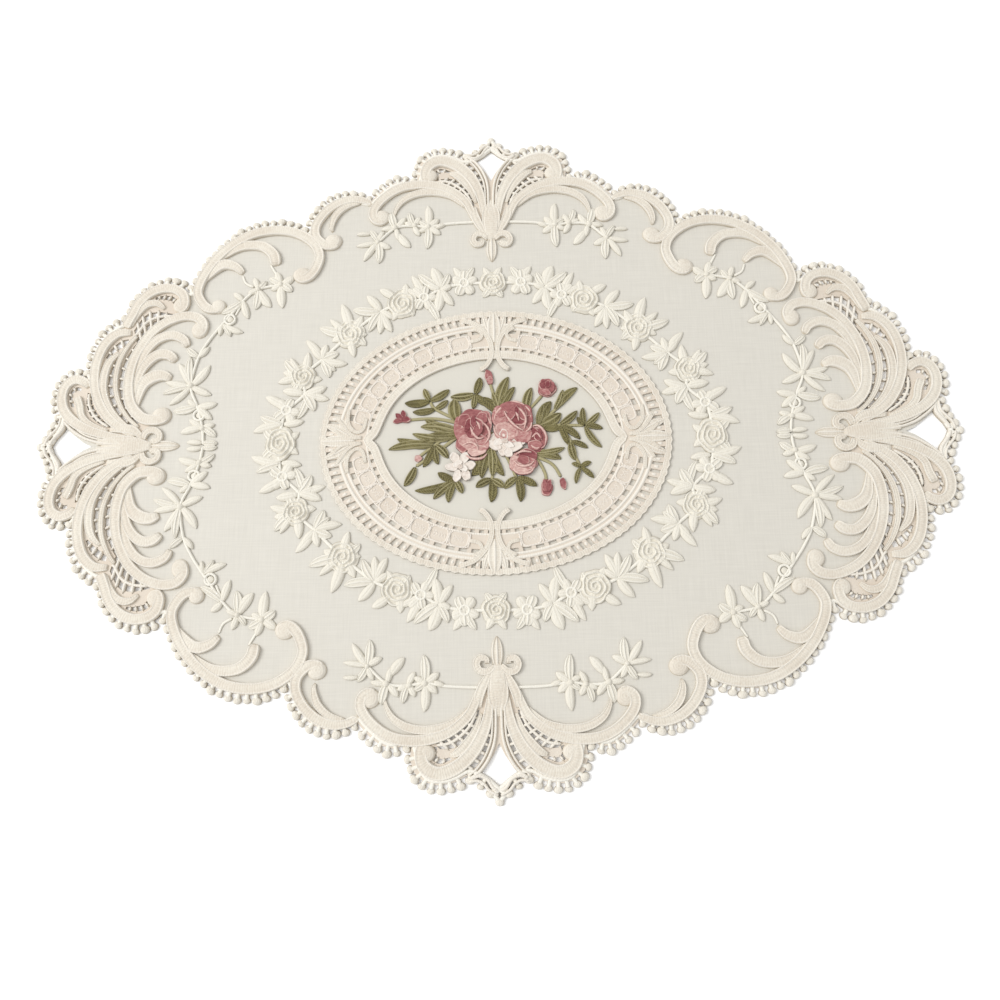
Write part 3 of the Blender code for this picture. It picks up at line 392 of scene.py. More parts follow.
# The scrolls: cotton padded and covered in satin stitch, with a cord along both edges, worked through the voile.
# They spring from a hub at each end of the two axes and carry the picot edge on bars.
SCROLLS = {
    "crest_scroll": (((3.6, 121), (4.6, 129), (7, 137), (11.4, 144.8), (18.4, 151.4), (26.5, 154.2), (32.6, 151.4),
                      (34.6, 146), (33.6, 140.6)), (3, 4.4, 5.4, 6.2, 6.4, 6.4, 6.4, 5.8, 4.4)),
    "crest_leaf": (((7.6, 128), (10.6, 136), (15, 142.4), (19, 145.8), (22.4, 146.6)), (1.4, 3, 4.2, 3.4, 1)),
    "diamond_cord": (((1.2, 122), (1.6, 138), (4, 146.6), (8, 152.8), (13.2, 157)), (1.3, 1.4, 1.5, 1.5, 1.5)),
    "diamond_strand": (((2.7, 124), (3.2, 138), (5.6, 145.8), (9.4, 151.8), (14, 155.8)), (1.1, 1.1, 1.1, 1.1, 1)),
    "diamond_rim": (((0, 162), (2.8, 160.6), (5.2, 157), (9, 155.4), (13, 157)), 1.7),
    "diamond_rim_outer": (((0, 164), (4.2, 161.8), (6.8, 158.8), (10, 157.4), (14, 158)), 1.4),
    "hub_arc": (((8, 118), (13, 129), (21.6, 136.4), (32, 139.8), (43, 139.8), (51, 137), (57.6, 131.8),
                 (61.3, 126.4), (61.4, 121.8), (58.2, 119.2), (54.8, 120.2)),
                 (3.4, 4.4, 4.8, 5, 5.2, 5, 5, 5, 5, 4.6, 3.6)),
    "hub_frond": (((13, 126.4), (21, 133), (31, 135.6), (40, 134.6), (46.6, 131), (50, 126), (51.4, 120.4)),
     (1.8, 3.4, 4, 4, 3.4, 2.2, 0.8)),
    "brow_scroll": (((62, 129.6), (66, 131.8), (73, 133), (80.5, 130.8), (87, 125.6), (91.2, 118.2),
                     (91, 111.6), (86.6, 106.9), (82, 106.2), (79.4, 108)),
     (2.4, 3.6, 4.4, 4.8, 5, 5, 5.2, 5.2, 4.6, 3.6)),
    "brow_frond": (((68.5, 131), (76, 128.8), (81.2, 124), (83.2, 118), (82.6, 114)), (1.4, 3.2, 3.8, 2.8, 0.8)),
    "sweep_scroll": (((100, 89.6), (97, 87.6), (93, 89.6), (89.8, 95), (88.8, 101.2), (92.2, 108.2), (101, 114.2),
                      (112, 116.2), (124, 114.2), (134.5, 108.2), (143, 99.8), (148.9, 90), (151, 82),
                      (148.8, 76.2), (145.2, 72.6), (141, 71.9), (138.2, 73)),
     (3.6, 4.6, 5.2, 5.2, 5, 5.2, 5.2, 5.2, 5.2, 5.2, 5.2, 5.2, 5, 5, 5, 4.2, 3.4)),
    "sweep_frond_high": (((111, 95.8), (112.8, 102.4), (119.4, 107.4), (130.4, 107), (142, 99.4)),
     (5.6, 5.8, 5.4, 4.6, 1.6)),
    "sweep_frond_low": (((128, 92), (132.8, 96.2), (140, 96.6), (149.4, 87)), (3.2, 4.8, 5.4, 1.6)),
    "curl_scroll": (((161, 72.4), (158.2, 72.8), (157.2, 76), (158.6, 80.8), (163, 83.8), (169.5, 84.2),
                     (175.8, 81.4),
                     (180.6, 76), (183.2, 70), (186.6, 62.4)), (3.4, 4.2, 5, 5.2, 5, 5.2, 5.2, 5.2, 5.2, 5)),
    "curl_leaf": (((167, 72.6), (171.4, 76), (176.6, 75.2), (180.6, 70.6), (184, 63)), (1.6, 3.4, 3.8, 3.2, 1.6)),
    "flank_scroll": (((182.8, 60), (190, 59.4), (195.8, 53.8), (199, 45.3), (199.7, 36), (198, 27),
                      (193.8, 18.5), (187.5, 11.5), (176, 4.6)), (3, 4.8, 5.2, 5.2, 5.2, 5.2, 5.2, 4.8, 3)),
    "flank_inner": (((187.8, 49.6), (192.8, 44), (194.9, 36), (194.2, 27), (190, 18.2), (183, 11), (175, 6)),
     (1.4, 3.6, 4.2, 4, 3.8, 3, 2)),
    "flank_strand": (((180, 58.6), (184.6, 52), (188.2, 43), (188.9, 32), (186.4, 22.6), (181.4, 14.8), (175, 9)),
     (1.6, 2.2, 2.6, 2.6, 2.4, 2, 1.8)),
    "great_scroll": (((150.2, 58.8), (147.6, 59.4), (146.9, 63.6), (150.4, 67.6), (157.5, 68.4), (166, 65.2),
                      (173.2, 59),
                      (178.6, 50), (181.6, 40), (182, 30), (179.8, 20.8), (174, 14.4), (168, 13), (163.4, 13.5),
                      (160.9, 15.6)),
     (3.4, 4.2, 5, 5.2, 5, 5, 5, 5, 5.2, 5.6, 5.8, 5.8, 5.6, 4.8, 3.6)),
    "frond_top": (((154.2, 51.6), (156.6, 55.8), (162.4, 58), (169.2, 55.8), (174.8, 49), (179.8, 36)),
     (3.6, 4.6, 5, 4.8, 4.2, 1.6)),
    "frond_mid": (((159.4, 43.8), (163, 47.2), (168.4, 47.4), (173.4, 43.4), (177, 36.6), (179.6, 24)),
     (4.2, 5.2, 5.4, 5, 4.2, 1.6)),
    "frond_low": (((160.8, 34.6), (165.8, 36.4), (171.4, 34.8), (175.4, 30), (177.8, 18.4)), (3.4, 6, 6.6, 5.4, 1.8)),
    "knuckle_scroll": (((202.4, 30.4), (204.4, 33.4), (209, 34.8), (213.4, 32.2), (215.2, 26.3), (213.6, 19),
                        (208.3, 12.8), (200.5, 8.4), (191, 5.4), (177, 3)),
                        (3.4, 4.6, 5, 5, 5.2, 5.4, 5.4, 5, 4.2, 3)),
    "knuckle_inner": (((208, 26.2), (205.8, 21), (204.2, 15.4), (199.6, 11.2), (190, 7.3)), (4.2, 3.8, 3.6, 3, 1.8)),
    "side_diamond_cord": (((180, 1.1), (192, 1.5), (201, 3.8), (208, 8), (213.6, 13.2)), (1.3, 1.4, 1.5, 1.5, 1.5)),
    "side_diamond_strand": (((184, 2.8), (193, 3.2), (201, 5.4), (206.4, 9), (212.4, 15)), (1.1, 1.1, 1.1, 1.1, 1)),
    "side_diamond_rim": (((213, 14), (213, 9.4), (215.4, 5.8), (217.6, 3), (218.6, 0)), 1.7),
    "side_diamond_outer": (((214.6, 15.4), (215.2, 10.4), (217.6, 7), (220, 4), (221, 0)), 1.4),
    "lily_curl": (((1.4, 107.6), (4.4, 110.4), (8, 110.2), (9.6, 107.2), (8, 104.6), (5.2, 105.2), (4.9, 107.6)),
     (2.8, 3.4, 3.4, 3.4, 3.3, 3, 2.4)),
    "side_lily_curl": (((172.6, 3), (171, 6.8), (167.6, 8), (164.6, 6.2), (164.4, 3.4), (166.8, 2.4), (168.6, 3.8)),
     (2.8, 3.5, 3.5, 3.4, 3.3, 3, 2.4)),
    "hub_rib": (((1.4, 128), (2.6, 121), (2.4, 114), (1, 108)), (2.4, 4.4, 3.4, 1.4)),
    "hub_side": (((8.6, 127), (8.6, 121.6), (6, 115.4), (2.2, 109)), (1.6, 4.4, 4, 1.4)),
    "side_hub_rib": (((196, 1.6), (186, 2.6), (177, 2.6), (168, 1)), (2.2, 4.4, 4, 1.4)),
    "side_hub_side": (((190, 8), (183, 8.6), (177, 7.6), (172, 3)), (1.8, 4.6, 4.4, 1.6)),
}
SCROLL_KNOBS = ((97.4, 90, 4.9, 4.6), (82, 108.8, 4.7, 4.5), (140, 73.6, 4, 4.1), (159.4, 74.6, 4.2, 4.4),
                (148.8, 60.8, 4.3, 4.7), (164.2, 15.4, 5.1, 4.6), (57.6, 121.8, 4.8, 4.6), (32, 145.6, 4.2, 4.1))
SCROLL_HEIGHT = 3.1
scrolls = []
for path, widths in SCROLLS.values():
    widest = np.max(widths)
    scrolls.append(carried(path, widths, SATIN if widest > 2 else CORD, BASE,
                           SCROLL_HEIGHT * (0.76 + 0.045 * min(widest, 5.4)), step=0.9))
scrolls += [boss(x, y, (across, up), BASE, SCROLL_HEIGHT * 0.9, rings=6, sides=22, flat=0.42)
            for x, y, across, up in SCROLL_KNOBS]
HUB_PETALS = (((0, 109.4), (0, 95), 5), ((169.4, 0), (154, 0), 5))
VEINED = section(((1, 0, 0.6), (1, 0.45, 1), (0.88, 0.8, 1), (0.72, 0.84, 0.7), (0.6, 0.62, 0), (0.3, 0.82, 0),
                  (0.14, 0.86, 0.3), (0.1, 1, 1), (0, 1, 1)))
FOLDED = section(((1, 0, 0), (0.98, 0.34, 0.4), (0.84, 0.6, 0.3), (0.5, 0.82, 0.2), (0.18, 0.94, 0.7), (0.1, 0.9, 0),
                  (0, 0.88, 0)))
LEAF_SHARES = ((0, 0.34), (0.12, 0.68), (0.3, 1), (0.5, 1.1), (0.7, 1), (0.87, 0.66), (1, 0.14))
CLOTH_LEVEL = 0.85


def leaf(root, tip, width, floor=CLOTH_LEVEL, height=1.2, bow=0.0, shares=LEAF_SHARES, step=1.0, profile=VEINED):
    """A leaf from root to tip: a section carried along a line that bows to one side, as wide at each
    share of its length as the table says."""
    root, tip = np.array(root, float), np.array(tip, float)
    ahead = tip - root
    side = np.array((-ahead[1], ahead[0]))
    path = [root + ahead * t + side * bow * 4 * t * (1 - t) for t, share in shares]
    return carried(path, [width * share for t, share in shares], profile, floor, height, step, blunt=(0.4, 0))


PAD = section(((1, 0, 0), (1, 0.6, 0.5), (0.95, 0.86, 1), (0.88, 0.92, 0.6), (0.8, 0.9, 0), (0.4, 0.97, 0),
               (0, 1, 0)))
HUB_PADS = (((0, 131), (0, 125), (0, 119), (0, 112), (0, 106.6)), ((194, 0), (187, 0), (181, 0), (174, 0), (167, 0)))
PAD_WIDTHS = (1.4, 4.6, 7.6, 6.4, 3.4)
pads = [carried(path, PAD_WIDTHS, PAD, BASE, 3.0, step=0.9) for path in HUB_PADS]
petals = [leaf(*row, floor=0.3, height=2.2) for row in HUB_PETALS]
hubs = in_quarters([petals[0], pads[0]], BACK_AND_FRONT) + in_quarters([petals[1], pads[1]], BOTH_ENDS)
scroll_band = piece("scroll_band", in_quarters(scrolls) + hubs, cream_cotton, ("scroll_border",))

# The openwork: the voile is cut away between the scrolls, and the gap is crossed by ladders of overcast bars.
# Each row gives the two rails of a gap, the number of bars across it, and whether a strand runs down its middle.
# The last four fan round inside a curl.
LADDERS = (
    (((8, 127), (9.6, 134), (13.6, 140.4), (19, 144.4), (26, 144.6)),
     ((11.4, 127), (15, 132.4), (21, 136.6), (26.6, 139), (31, 139.6)), 6, True),
    (((1.6, 126), (2.2, 138), (4.8, 146), (8.8, 152), (14, 156)),
     ((5, 126), (6.6, 135), (10.6, 143.6), (15, 148.6), (19, 152.6)), 7, False),
    (((162, 70.6), (167, 72), (171, 73), (176.4, 72.4), (180, 68.6), (183, 62.6)),
     ((163, 67.4), (167.6, 65.6), (172, 62), (175.6, 58), (178.6, 53), (180.6, 54)), 5, True),
    (((179.6, 56.6), (184, 50), (187.4, 42.6), (188.2, 32), (185.6, 22.6), (180.6, 15), (176, 10.6)),
     ((178.6, 53.4), (181.6, 46), (183.4, 38), (183.6, 29.6), (181.6, 21), (177.4, 15.4), (174, 12.6)), 8, False),
    (((188.6, 48), (192, 42.6), (193.6, 35.6), (192.8, 27), (188.6, 18.6), (182, 12), (177, 8.4)),
     ((187.6, 46), (189.2, 41.6), (189.8, 32), (187.4, 22.4), (182.6, 14.8), (178.4, 11.2), (176.4, 9.6)), 7, False),
    (((203.4, 28.6), (203.6, 22), (201.2, 16), (197, 12), (191.4, 9.2)),
     ((200.2, 27.4), (199.2, 22), (196.2, 17), (192.4, 13), (188, 9.6)), 6, True),
    (((183, 2), (193, 2.4), (201, 4.8), (207, 8.6), (212.4, 13.6)),
     ((184, 4), (192, 5.6), (199.6, 7.8), (206, 11.2), (210.6, 15)), 7, False),
    (((20.4, 148.6), (26.2, 150.8), (30, 149.2), (31, 146), (30.2, 142)),
     ((22, 147), (25, 147.4), (26.6, 146.6), (27, 145.2), (26.2, 142.8)), 3, False),
    (((160.6, 76), (161.6, 79), (164.2, 81), (168.8, 81.4), (173.8, 79.8)),
     ((163.6, 74.6), (164.8, 76.8), (167.2, 77.4), (170.2, 78), (173, 78)), 4, False),
    (((184.4, 57.6), (188.8, 56.8), (193.2, 52.6), (196, 46.4)),
     ((184, 54), (186.8, 51.2), (190.4, 48.8), (194.6, 45.6)), 3, False),
    (((206, 31.2), (209, 31.8), (211.8, 30), (212.6, 26), (211, 20)),
     ((206.2, 28.4), (208.4, 28.4), (209.8, 27), (209.8, 24.6), (208, 20)), 3, False),
)
BAR_WIDTH, BAR_LEVEL = 1.3, 1.1
RAIL_STEP, RAIL_GAP = 0.2, 0.5


def at_share(line, share):
    """The points of a line at shares of its length."""
    return line[(np.asarray(share) * (len(line) - 1)).astype(int)]


cells, bars = [], []
for rail_a, rail_b, count, strand in LADDERS:
    a, b = (spaced(smooth(rail, 0.8), RAIL_STEP) for rail in (rail_a, rail_b))
    lanes = ((0.15, 0.4), (0.6, 0.85)) if strand else ((0.2, 0.8),)
    borders = np.linspace(0, 1, count + 2)
    inset = RAIL_GAP / (len(a) * RAIL_STEP)
    for start, end in zip(borders, borders[1:]):
        share = np.linspace(start + inset, end - inset, 5)
        near_rail, way = at_share(a, share), at_share(b, share) - at_share(a, share)
        cells += [np.vstack((near_rail + way * near, (near_rail + way * far)[::-1])) for near, far in lanes]
    bars += [carried([at_share(a, share), at_share(b, share)], BAR_WIDTH, CORD, BAR_LEVEL, 1.25, step=2.0)
             for share in borders[1:-1]]
    if strand:
        share = np.linspace(0, 1, 9)
        bars.append(carried((at_share(a, share) + at_share(b, share)) / 2, BAR_WIDTH, CORD, BAR_LEVEL, 1.35, step=1.5))
ladder_bars = piece("ladder_bars", in_quarters(bars), cream_cotton)

# The ground: sheer voile, a plain weave of fine grey-white polyester. It lies flat on the table, stops under the
# scrolls round the rim, and is cut away where the ladders and the two pairs of diamonds are.
DIAMOND = ((0, 141.6), (2.6, 146.8), (6.6, 152.8), (9, 155), (4.8, 156.4), (2.2, 160), (0, 161.6))
SIDE_DIAMOND = ((198, 0), (202, 1.8), (207, 5.4), (213, 10.6), (213.2, 8.2), (215.4, 4.6), (218, 1.6), (218.4, 0))
VOILE_THICKNESS = 0.22
HEM_PITCH, HEM_INSET = 3.0, 4.4
edge = scalloped(HEM_PITCH)
hem = edge - sideways(edge) * HEM_INSET
hem[0, 0], hem[-1, 1] = 0, 0
right = np.vstack((hem, hem[-2::-1] * (1, -1)))
outline = np.vstack((right, right[-2:0:-1] * (-1, 1)))
gaps = []
for shape in (DIAMOND, SIDE_DIAMOND):
    half = np.array(shape, float)
    flip = np.array((-1, 1) if half[0, 0] == 0 else (1, -1))
    whole = np.vstack((half, half[-2:0:-1] * flip))
    gaps += [whole, whole * -flip]
gaps += [cell * sign for cell in cells for sign in QUARTERS]


def inside(points, loop):
    """Whether each point lies in a closed loop: a ray to its right crosses the loop an odd number of times."""
    a, b = loop, np.roll(loop, -1, axis=0)
    x, y = points[:, 0][:, None], points[:, 1][:, None]
    rise = np.where(b[:, 1] == a[:, 1], 1, b[:, 1] - a[:, 1])
    crossed = ((a[:, 1] > y) != (b[:, 1] > y)) & (x < a[:, 0] + (b[:, 0] - a[:, 0]) * (y - a[:, 1]) / rise)
    return crossed.sum(axis=1) % 2 == 1


def panel(name, outlines, holes, low, high):
    """The mesh and the area of a flat panel between two levels, inside any of the outlines and outside every hole:
    the plane is triangulated along all the loops, the triangles within are kept, and a wall closes each border."""
    every = [*outlines, *holes]
    starts = np.cumsum([0] + [len(loop) for loop in every])
    sides = [(start + i, start + (i + 1) % len(loop)) for loop, start in zip(every, starts) for i in range(len(loop))]
    corners, _, triangles = delaunay_2d_cdt([Vector(p) for p in np.vstack(every).tolist()], sides, [], 0, 1e-4)[:3]
    corners, triangles = np.array([tuple(p) for p in corners]), np.array(triangles)
    centres = corners[triangles].mean(axis=1)
    kept = np.any([inside(centres, loop) for loop in outlines], axis=0)
    for loop in holes:
        kept &= ~inside(centres, loop)
    triangles = triangles[kept]
    (ax, ay), (bx, by), (cx, cy) = corners[triangles].transpose(1, 2, 0)
    twice = (bx - ax) * (cy - ay) - (cx - ax) * (by - ay)
    triangles = np.where((twice > 0)[:, None], triangles, triangles[:, ::-1])
    directed = triangles[:, [0, 1, 1, 2, 2, 0]].reshape(-1, 2)
    keys = directed[:, 0] * len(corners) + directed[:, 1]
    border = directed[~np.isin(keys, directed[:, 1] * len(corners) + directed[:, 0])]
    flat = settled(np.column_stack((corners, 0 * corners[:, 0])))
    under = len(corners)
    walls = np.column_stack((border[:, 1], border[:, 0], border[:, 0] + under, border[:, 1] + under))
    mesh = bpy.data.meshes.new(name)
    mesh.from_pydata((np.vstack((flat + (0, 0, high), flat + (0, 0, low))) * MM).tolist(), [],
                     triangles.tolist() + (triangles[:, ::-1] + under).tolist() + walls.tolist())
    weld = bmesh.new()
    weld.from_mesh(mesh)
    bmesh.ops.delete(weld, geom=[v for v in weld.verts if not v.link_faces], context="VERTS")
    weld.to_mesh(mesh)
    weld.free()
    return mesh, np.abs(twice).sum() / 2 * MM * MM


# The weave is drawn as slubs: long thin streaks along both threads, coarser than the real 0.2 mm yarn. Inside
# the oval frame the cloth is a touch warmer.
OPENING = (0.0575, 0.0432)
voile, tree, shader = empty_material("sheer_polyester_voile", Roughness=0.6, Specular_IOR_Level=0.3)
at = node(tree, "ShaderNodeTexCoord").outputs["Object"]
streaks = []
for scale in ((1500, 60, 1), (60, 1500, 1)):
    stretched = node(tree, "ShaderNodeMapping", [("Vector", at)], Scale=scale).outputs["Vector"]
    streaks.append(noise(tree, stretched, 1.0, 2.0))
weave = maths(tree, "ADD", *streaks)
slub = mixed(tree, ranged(tree, weave, 0.7, 1.3), "#DBD7CD", "#E1DDD3")
oval = node(tree, "ShaderNodeMapping", [("Vector", at)], Scale=(1 / OPENING[0], 1 / OPENING[1], 0)).outputs["Vector"]
radius = node(tree, "ShaderNodeVectorMath", [(0, oval)], operation="LENGTH").outputs["Value"]
tinted = mixed(tree, maths(tree, "GREATER_THAN", radius, 1.0), "#DEDACF", slub)
tree.links.new(ranged(tree, weave, 0.7, 1.3, To_Min=0.82, To_Max=0.84), shader.inputs["Alpha"])
painted(tree, shader, tinted, weave, 0.25, 0.0001)
voile_mesh, voile_area = panel("voile_panel", [outline], gaps, CLOTH_LEVEL - VOILE_THICKNESS / 2,
                               CLOTH_LEVEL + VOILE_THICKNESS / 2)
voile_panel = dressed("voile_panel", voile_mesh, voile, ("lace_ground",))

# Between the scrolls the cloth is closed by a flat filling of the cotton, which follows their paths and has the
# same gaps. It keeps the ladders and the diamonds open.
FILLING_LEVELS = (0.05, 1.2)
hub_arc, brow, sweep = (SCROLLS[name][0] for name in ("hub_arc", "brow_scroll", "sweep_scroll"))
FILLINGS = (
    ((0, 108), (3.6, 112), (7, 119), *hub_arc[1:4], (38.6, 141.6), (39.4, 148), (37.4, 153.8),
     (33, 157.6), (27.5, 159), (20, 158), (13, 154.6), (6, 152), (0, 150)),
    (*brow[:6], (94, 119), (88, 128.6), (84, 132.6), (77, 135), (70.5, 134.6), (64.5, 132)),
    ((38, 140), *hub_arc[4:7], (61.3, 126), (64, 131), (61, 134.6), (57, 138.8), (52, 142.2),
     (46.5, 143.4), (41, 141.6)),
    ((90, 104), (95, 110.8), *sweep[6:13], (155, 83), (148.4, 93.6), (143.4, 101), (137, 108.4), (131, 113.2),
     (124, 117), (117, 119), (109, 119), (102, 117.4), (97, 114)),
    ((169, 0), (172, 6), (170, 10), (176, 12.8), (180.8, 20.8), (183, 30), (182.6, 40), (179.6, 50), (174.2, 59),
     (167, 65.2), (158.5, 68.4), (156.4, 72), (156.8, 81), (161, 85.6), (167, 87), (172.8, 85.4), (178, 81.4),
     (182, 76), (186, 67), (192, 63), (196.4, 59), (199.6, 53.6), (201.8, 47), (202.2, 38), (204, 36), (209, 37.4),
     (213, 36), (216.4, 32), (217.8, 27), (217.4, 20.6), (215, 14), (206, 10), (196, 6), (186, 0)),
)
fillings = [np.array(row, float) * sign for row in FILLINGS for sign in QUARTERS]
lace_filling = dressed("lace_filling", panel("lace_filling", fillings, gaps, *FILLING_LEVELS)[0], net_cotton,
                       ())

# The sprays and garlands: small leaves and starry flowers in satin stitch round a padded knot, on an overcast
# stem. Each row of a cluster's leaves is the x and y of the tip, and the width.
SPRAY_STEM = ((8, 117.6), (22, 117), (33, 115.4), (40.5, 116.4), (50, 115.4), (59, 107.5))
SPRAY = (
    (33, 115.4, ((33.2, 128, 4.6), (33.6, 103, 4.6), (27.4, 120, 4), (26.6, 111, 4), (38, 118.6, 3), (38, 113, 3))),
    (40.5, 116.4, ((37.4, 121.4, 3.6), (42.8, 124.2, 3.4), (37.4, 110.6, 3.4), (45.4, 118.4, 3))),
    (50, 115.4, ((45, 121.4, 3.8), (52.4, 124.6, 4.4), (57.4, 114.6, 3.2), (48.4, 108.4, 3.2))),
    (48.4, 112, ((42.2, 104.2, 4.6),)),
    (59, 107.5, ((52.4, 104, 3.8), (58.2, 95.6, 4.4), (66, 97, 3.8), (70, 105.6, 3), (63.4, 114.4, 3.4),
                 (56, 113.6, 3.2))),
    (24, 116.6, ((29, 114.6, 2.8),)),
    (63, 112.2, ((70, 112.2, 2.4),)),
)
SPRAY_KNOTS = ((33, 115.5, 1.9), (50.4, 115.4, 1.9), (40, 116.4, 1.7), (59, 107.4, 1.5))
GARLAND_STEM = ((108.2, 85.1), (120, 82.7), (127.5, 76.6), (132.6, 70), (137.6, 63.6), (144, 54.5), (148.6, 45),
                (151, 30.6), (147, 20), (143.6, 9), (142.4, 0))
GARLAND = (
    (108.2, 85.1, ((101.6, 89.6, 4.4), (102.4, 81, 4.4), (107, 72, 5), (110.6, 92.4, 4), (114.6, 88.6, 4),
                   (113.4, 82.4, 3.4))),
    (120, 82.7, ((113, 72.8, 5.2), (121, 71.6, 4.6), (122.4, 89.4, 3.4), (125.4, 80.6, 3), (116, 87.4, 3))),
    (127.5, 76.6, ((132.8, 81, 3.4), (138.4, 69.6, 4), (124.4, 66.6, 4))),
    (137.6, 63.6, ((126.8, 59, 3.8), (133, 57, 2.8), (138.6, 57.4, 2.6))),
    (151, 30.6, ((142.4, 41.6, 4.6), (152.4, 46.4, 4.2), (158, 42.8, 4.2), (163.8, 33, 3.8), (164.6, 26.6, 3.6),
                 (161, 21, 3.6), (140.6, 26, 4))),
    (147, 20, ((137.4, 21.6, 4), (158.6, 17.6, 4.4), (139.2, 13.4, 4.2), (152, 23.6, 3))),
    (143.6, 9, ((154, 6.4, 4.2), (136.6, 4.4, 3.8), (150.4, 13.2, 3.4), (137.6, 10.6, 3.2))),
    (142.8, 1, ((150.6, 1.6, 3), (135.6, 0.8, 3.2))), (148.4, 46, ((143.4, 51.6, 3), (154.4, 51, 3.4))),
)
GARLAND_KNOTS = ((108.4, 85, 1.8), (120, 82.7, 1.7), (133.8, 66.2, 2.6), (151, 30.8, 2), (145.6, 15.4, 2.6),
                 (143.4, 8.6, 1.7))
TENDRILS = (((109, 88), (112, 93), (114.4, 97)), ((122, 84), (126.6, 86.6), (128.6, 91.4)),
            ((127.6, 76), (129.6, 72), (131.4, 68)), ((144.4, 21), (143, 17), (144, 13)))
BOWS = (0.05, -0.05, 0.03, -0.02)


def clusters(rows, height=1.8, shares=LEAF_SHARES, slim=1.0):
    """The leaves of a set of clusters, each bowed a little to one side or the other in turn."""
    return [leaf((x, y), tip, width * slim, height=height, bow=BOWS[i % 4], shares=shares,
                 profile=VEINED if i % 3 == 1 else FOLDED)
            for x, y, leaves in rows for i, (*tip, width) in enumerate(leaves)]


def ringed_knot(x, y, radius, floor=1.0, height=1.4):
    """An eyelet knot: a cord carried round a small circle, with a boss inside it."""
    turn = full_turn(10)
    ring = np.stack((x + radius * np.cos(turn), y + radius * np.sin(turn)), axis=1)
    return [carried(ring, 1.3, CORD, floor, height, step=0.7, closed=True),
            boss(x, y, (radius * 0.7,) * 2, floor, height * 0.75, rings=3, sides=10)]


spray = [carried(SPRAY_STEM, 1.4, CORD, CLOTH_LEVEL, 1.3)] + clusters(SPRAY, slim=0.86)
garland = [carried(GARLAND_STEM, 1.35, CORD, CLOTH_LEVEL, 1.3)] + clusters(GARLAND, slim=0.88)
garland += [carried(path, (1.3, 1.2, 1), CORD, CLOTH_LEVEL, 0.9) for path in TENDRILS]
for knots, worked in ((SPRAY_KNOTS, spray), (GARLAND_KNOTS, garland)):
    for x, y, radius in knots:
        if radius > 2.4:
            worked += ringed_knot(x, y, radius)
        else:
            worked.append(boss(x, y, (radius * 0.85,) * 2, 1.2, 1.9, rings=3, sides=10))
# Its fourth colour is painted shade at the foot of the leaves, stems, knots and roses.
leaf_cotton = thread_material("cream_leaf_stitch", "#E1DCCF", "#E9E5DA", "#D8D2C4", "#B4AB98", (0.95, 1.5), pitch=1.1,
                              slant=0.9)
end_sprays = piece("end_sprays", in_quarters(spray), leaf_cotton,
                   ("spray_back_right", "spray_back_left", "spray_front_left", "spray_front_right"))
side_garlands = piece("side_garlands", in_quarters(garland), leaf_cotton, ("garland_right", "garland_left"))

# The wreath: padded roses whose petals turn in a spiral, eyelet flowers and leaves, round the oval frame.
WREATH_STEM = ((0, 83), (14.6, 83), (26.6, 80.3), (35, 75.4), (46, 72.5), (56.7, 68.6), (72, 56.6), (86, 43.4),
               (95.4, 34.6), (94.4, 25.6), (102.6, 17), (105, 8), (105.4, 0))
WREATH_ROSES = ((0, 83, 7.2, 6.8, 0.3), (46, 72.5, 7.6, 8, 1.2), (72, 56.6, 7.6, 7.8, 2.2), (95.4, 34.6, 6.8, 7, 0.8),
                (105, 0, 7.6, 9.2, 1.7))
WREATH_LEAVES = (
    (26.6, 80.3, ((31, 92, 5.4), (38, 88.6, 4.4), (20.2, 71.2, 4), (28.4, 67.6, 4.8), (22.4, 88.6, 3.6),
                  (34, 83, 3.4),
                  (21, 82, 3.4))),
    (49.4, 75.4, ((57.6, 80.6, 4),)),
    (56.7, 68.6, ((64, 77.4, 4.2), (70.8, 70, 4.2), (51, 57.6, 4), (57, 56.6, 3.8), (62.6, 57.8, 4),
                  (50.4, 64.6, 3.4))),
    (72, 56.6, ((76.6, 73.2, 4.8), (87.6, 60.6, 4.6), (69.6, 44.6, 4), (82.4, 65, 3.4))),
    (86, 43.4, ((73.2, 41, 4), (82, 34, 4.2), (91.4, 49.6, 3.6), (83.6, 51.4, 3.6), (79, 37.6, 3.4))),
    (95.4, 34.6, ((93, 47.4, 4.2), (104.8, 43.6, 4.4), (107.6, 31.6, 4), (102, 44.8, 3.2))),
    (94.4, 25.6, ((83.4, 29, 4.4), (89, 16.6, 4.6), (105, 27.4, 4.4), (86.6, 23, 3.8))),
    (104, 10, ((118.4, 6.2, 4.4), (115.4, 14.4, 4), (94, 11.4, 3.6))),
    (103, 18, ((113.4, 24.4, 4.2),)),
)
WREATH_FLOWERS = (
    (14.6, 83, ((20.6, 85.8, 5.2), (14.2, 90.2, 5.2), (8.2, 86, 4.6), (10.6, 77.2, 5.2), (17.6, 76.6, 5.2))),
    (35, 75.4, ((40.6, 80.8, 4.2), (34, 82, 4.2), (28.8, 76.2, 4), (32, 69.2, 4.2), (38.6, 69.4, 4.2))),
    (102.6, 17, ((107.6, 22.2, 5), (100, 23, 4.6), (96, 16, 4.6), (99.4, 10.4, 5), (108.2, 12.6, 5))),
)
PETAL_SHARES = ((0, 0.4), (0.2, 0.7), (0.45, 0.96), (0.7, 1), (0.88, 0.78), (0.96, 0.5), (1, 0.2))

ROSE_PETALS, RIDGE_PITCH = 5, 0.27
ROSE_RINGS, ROSE_SIDES = 24, 60


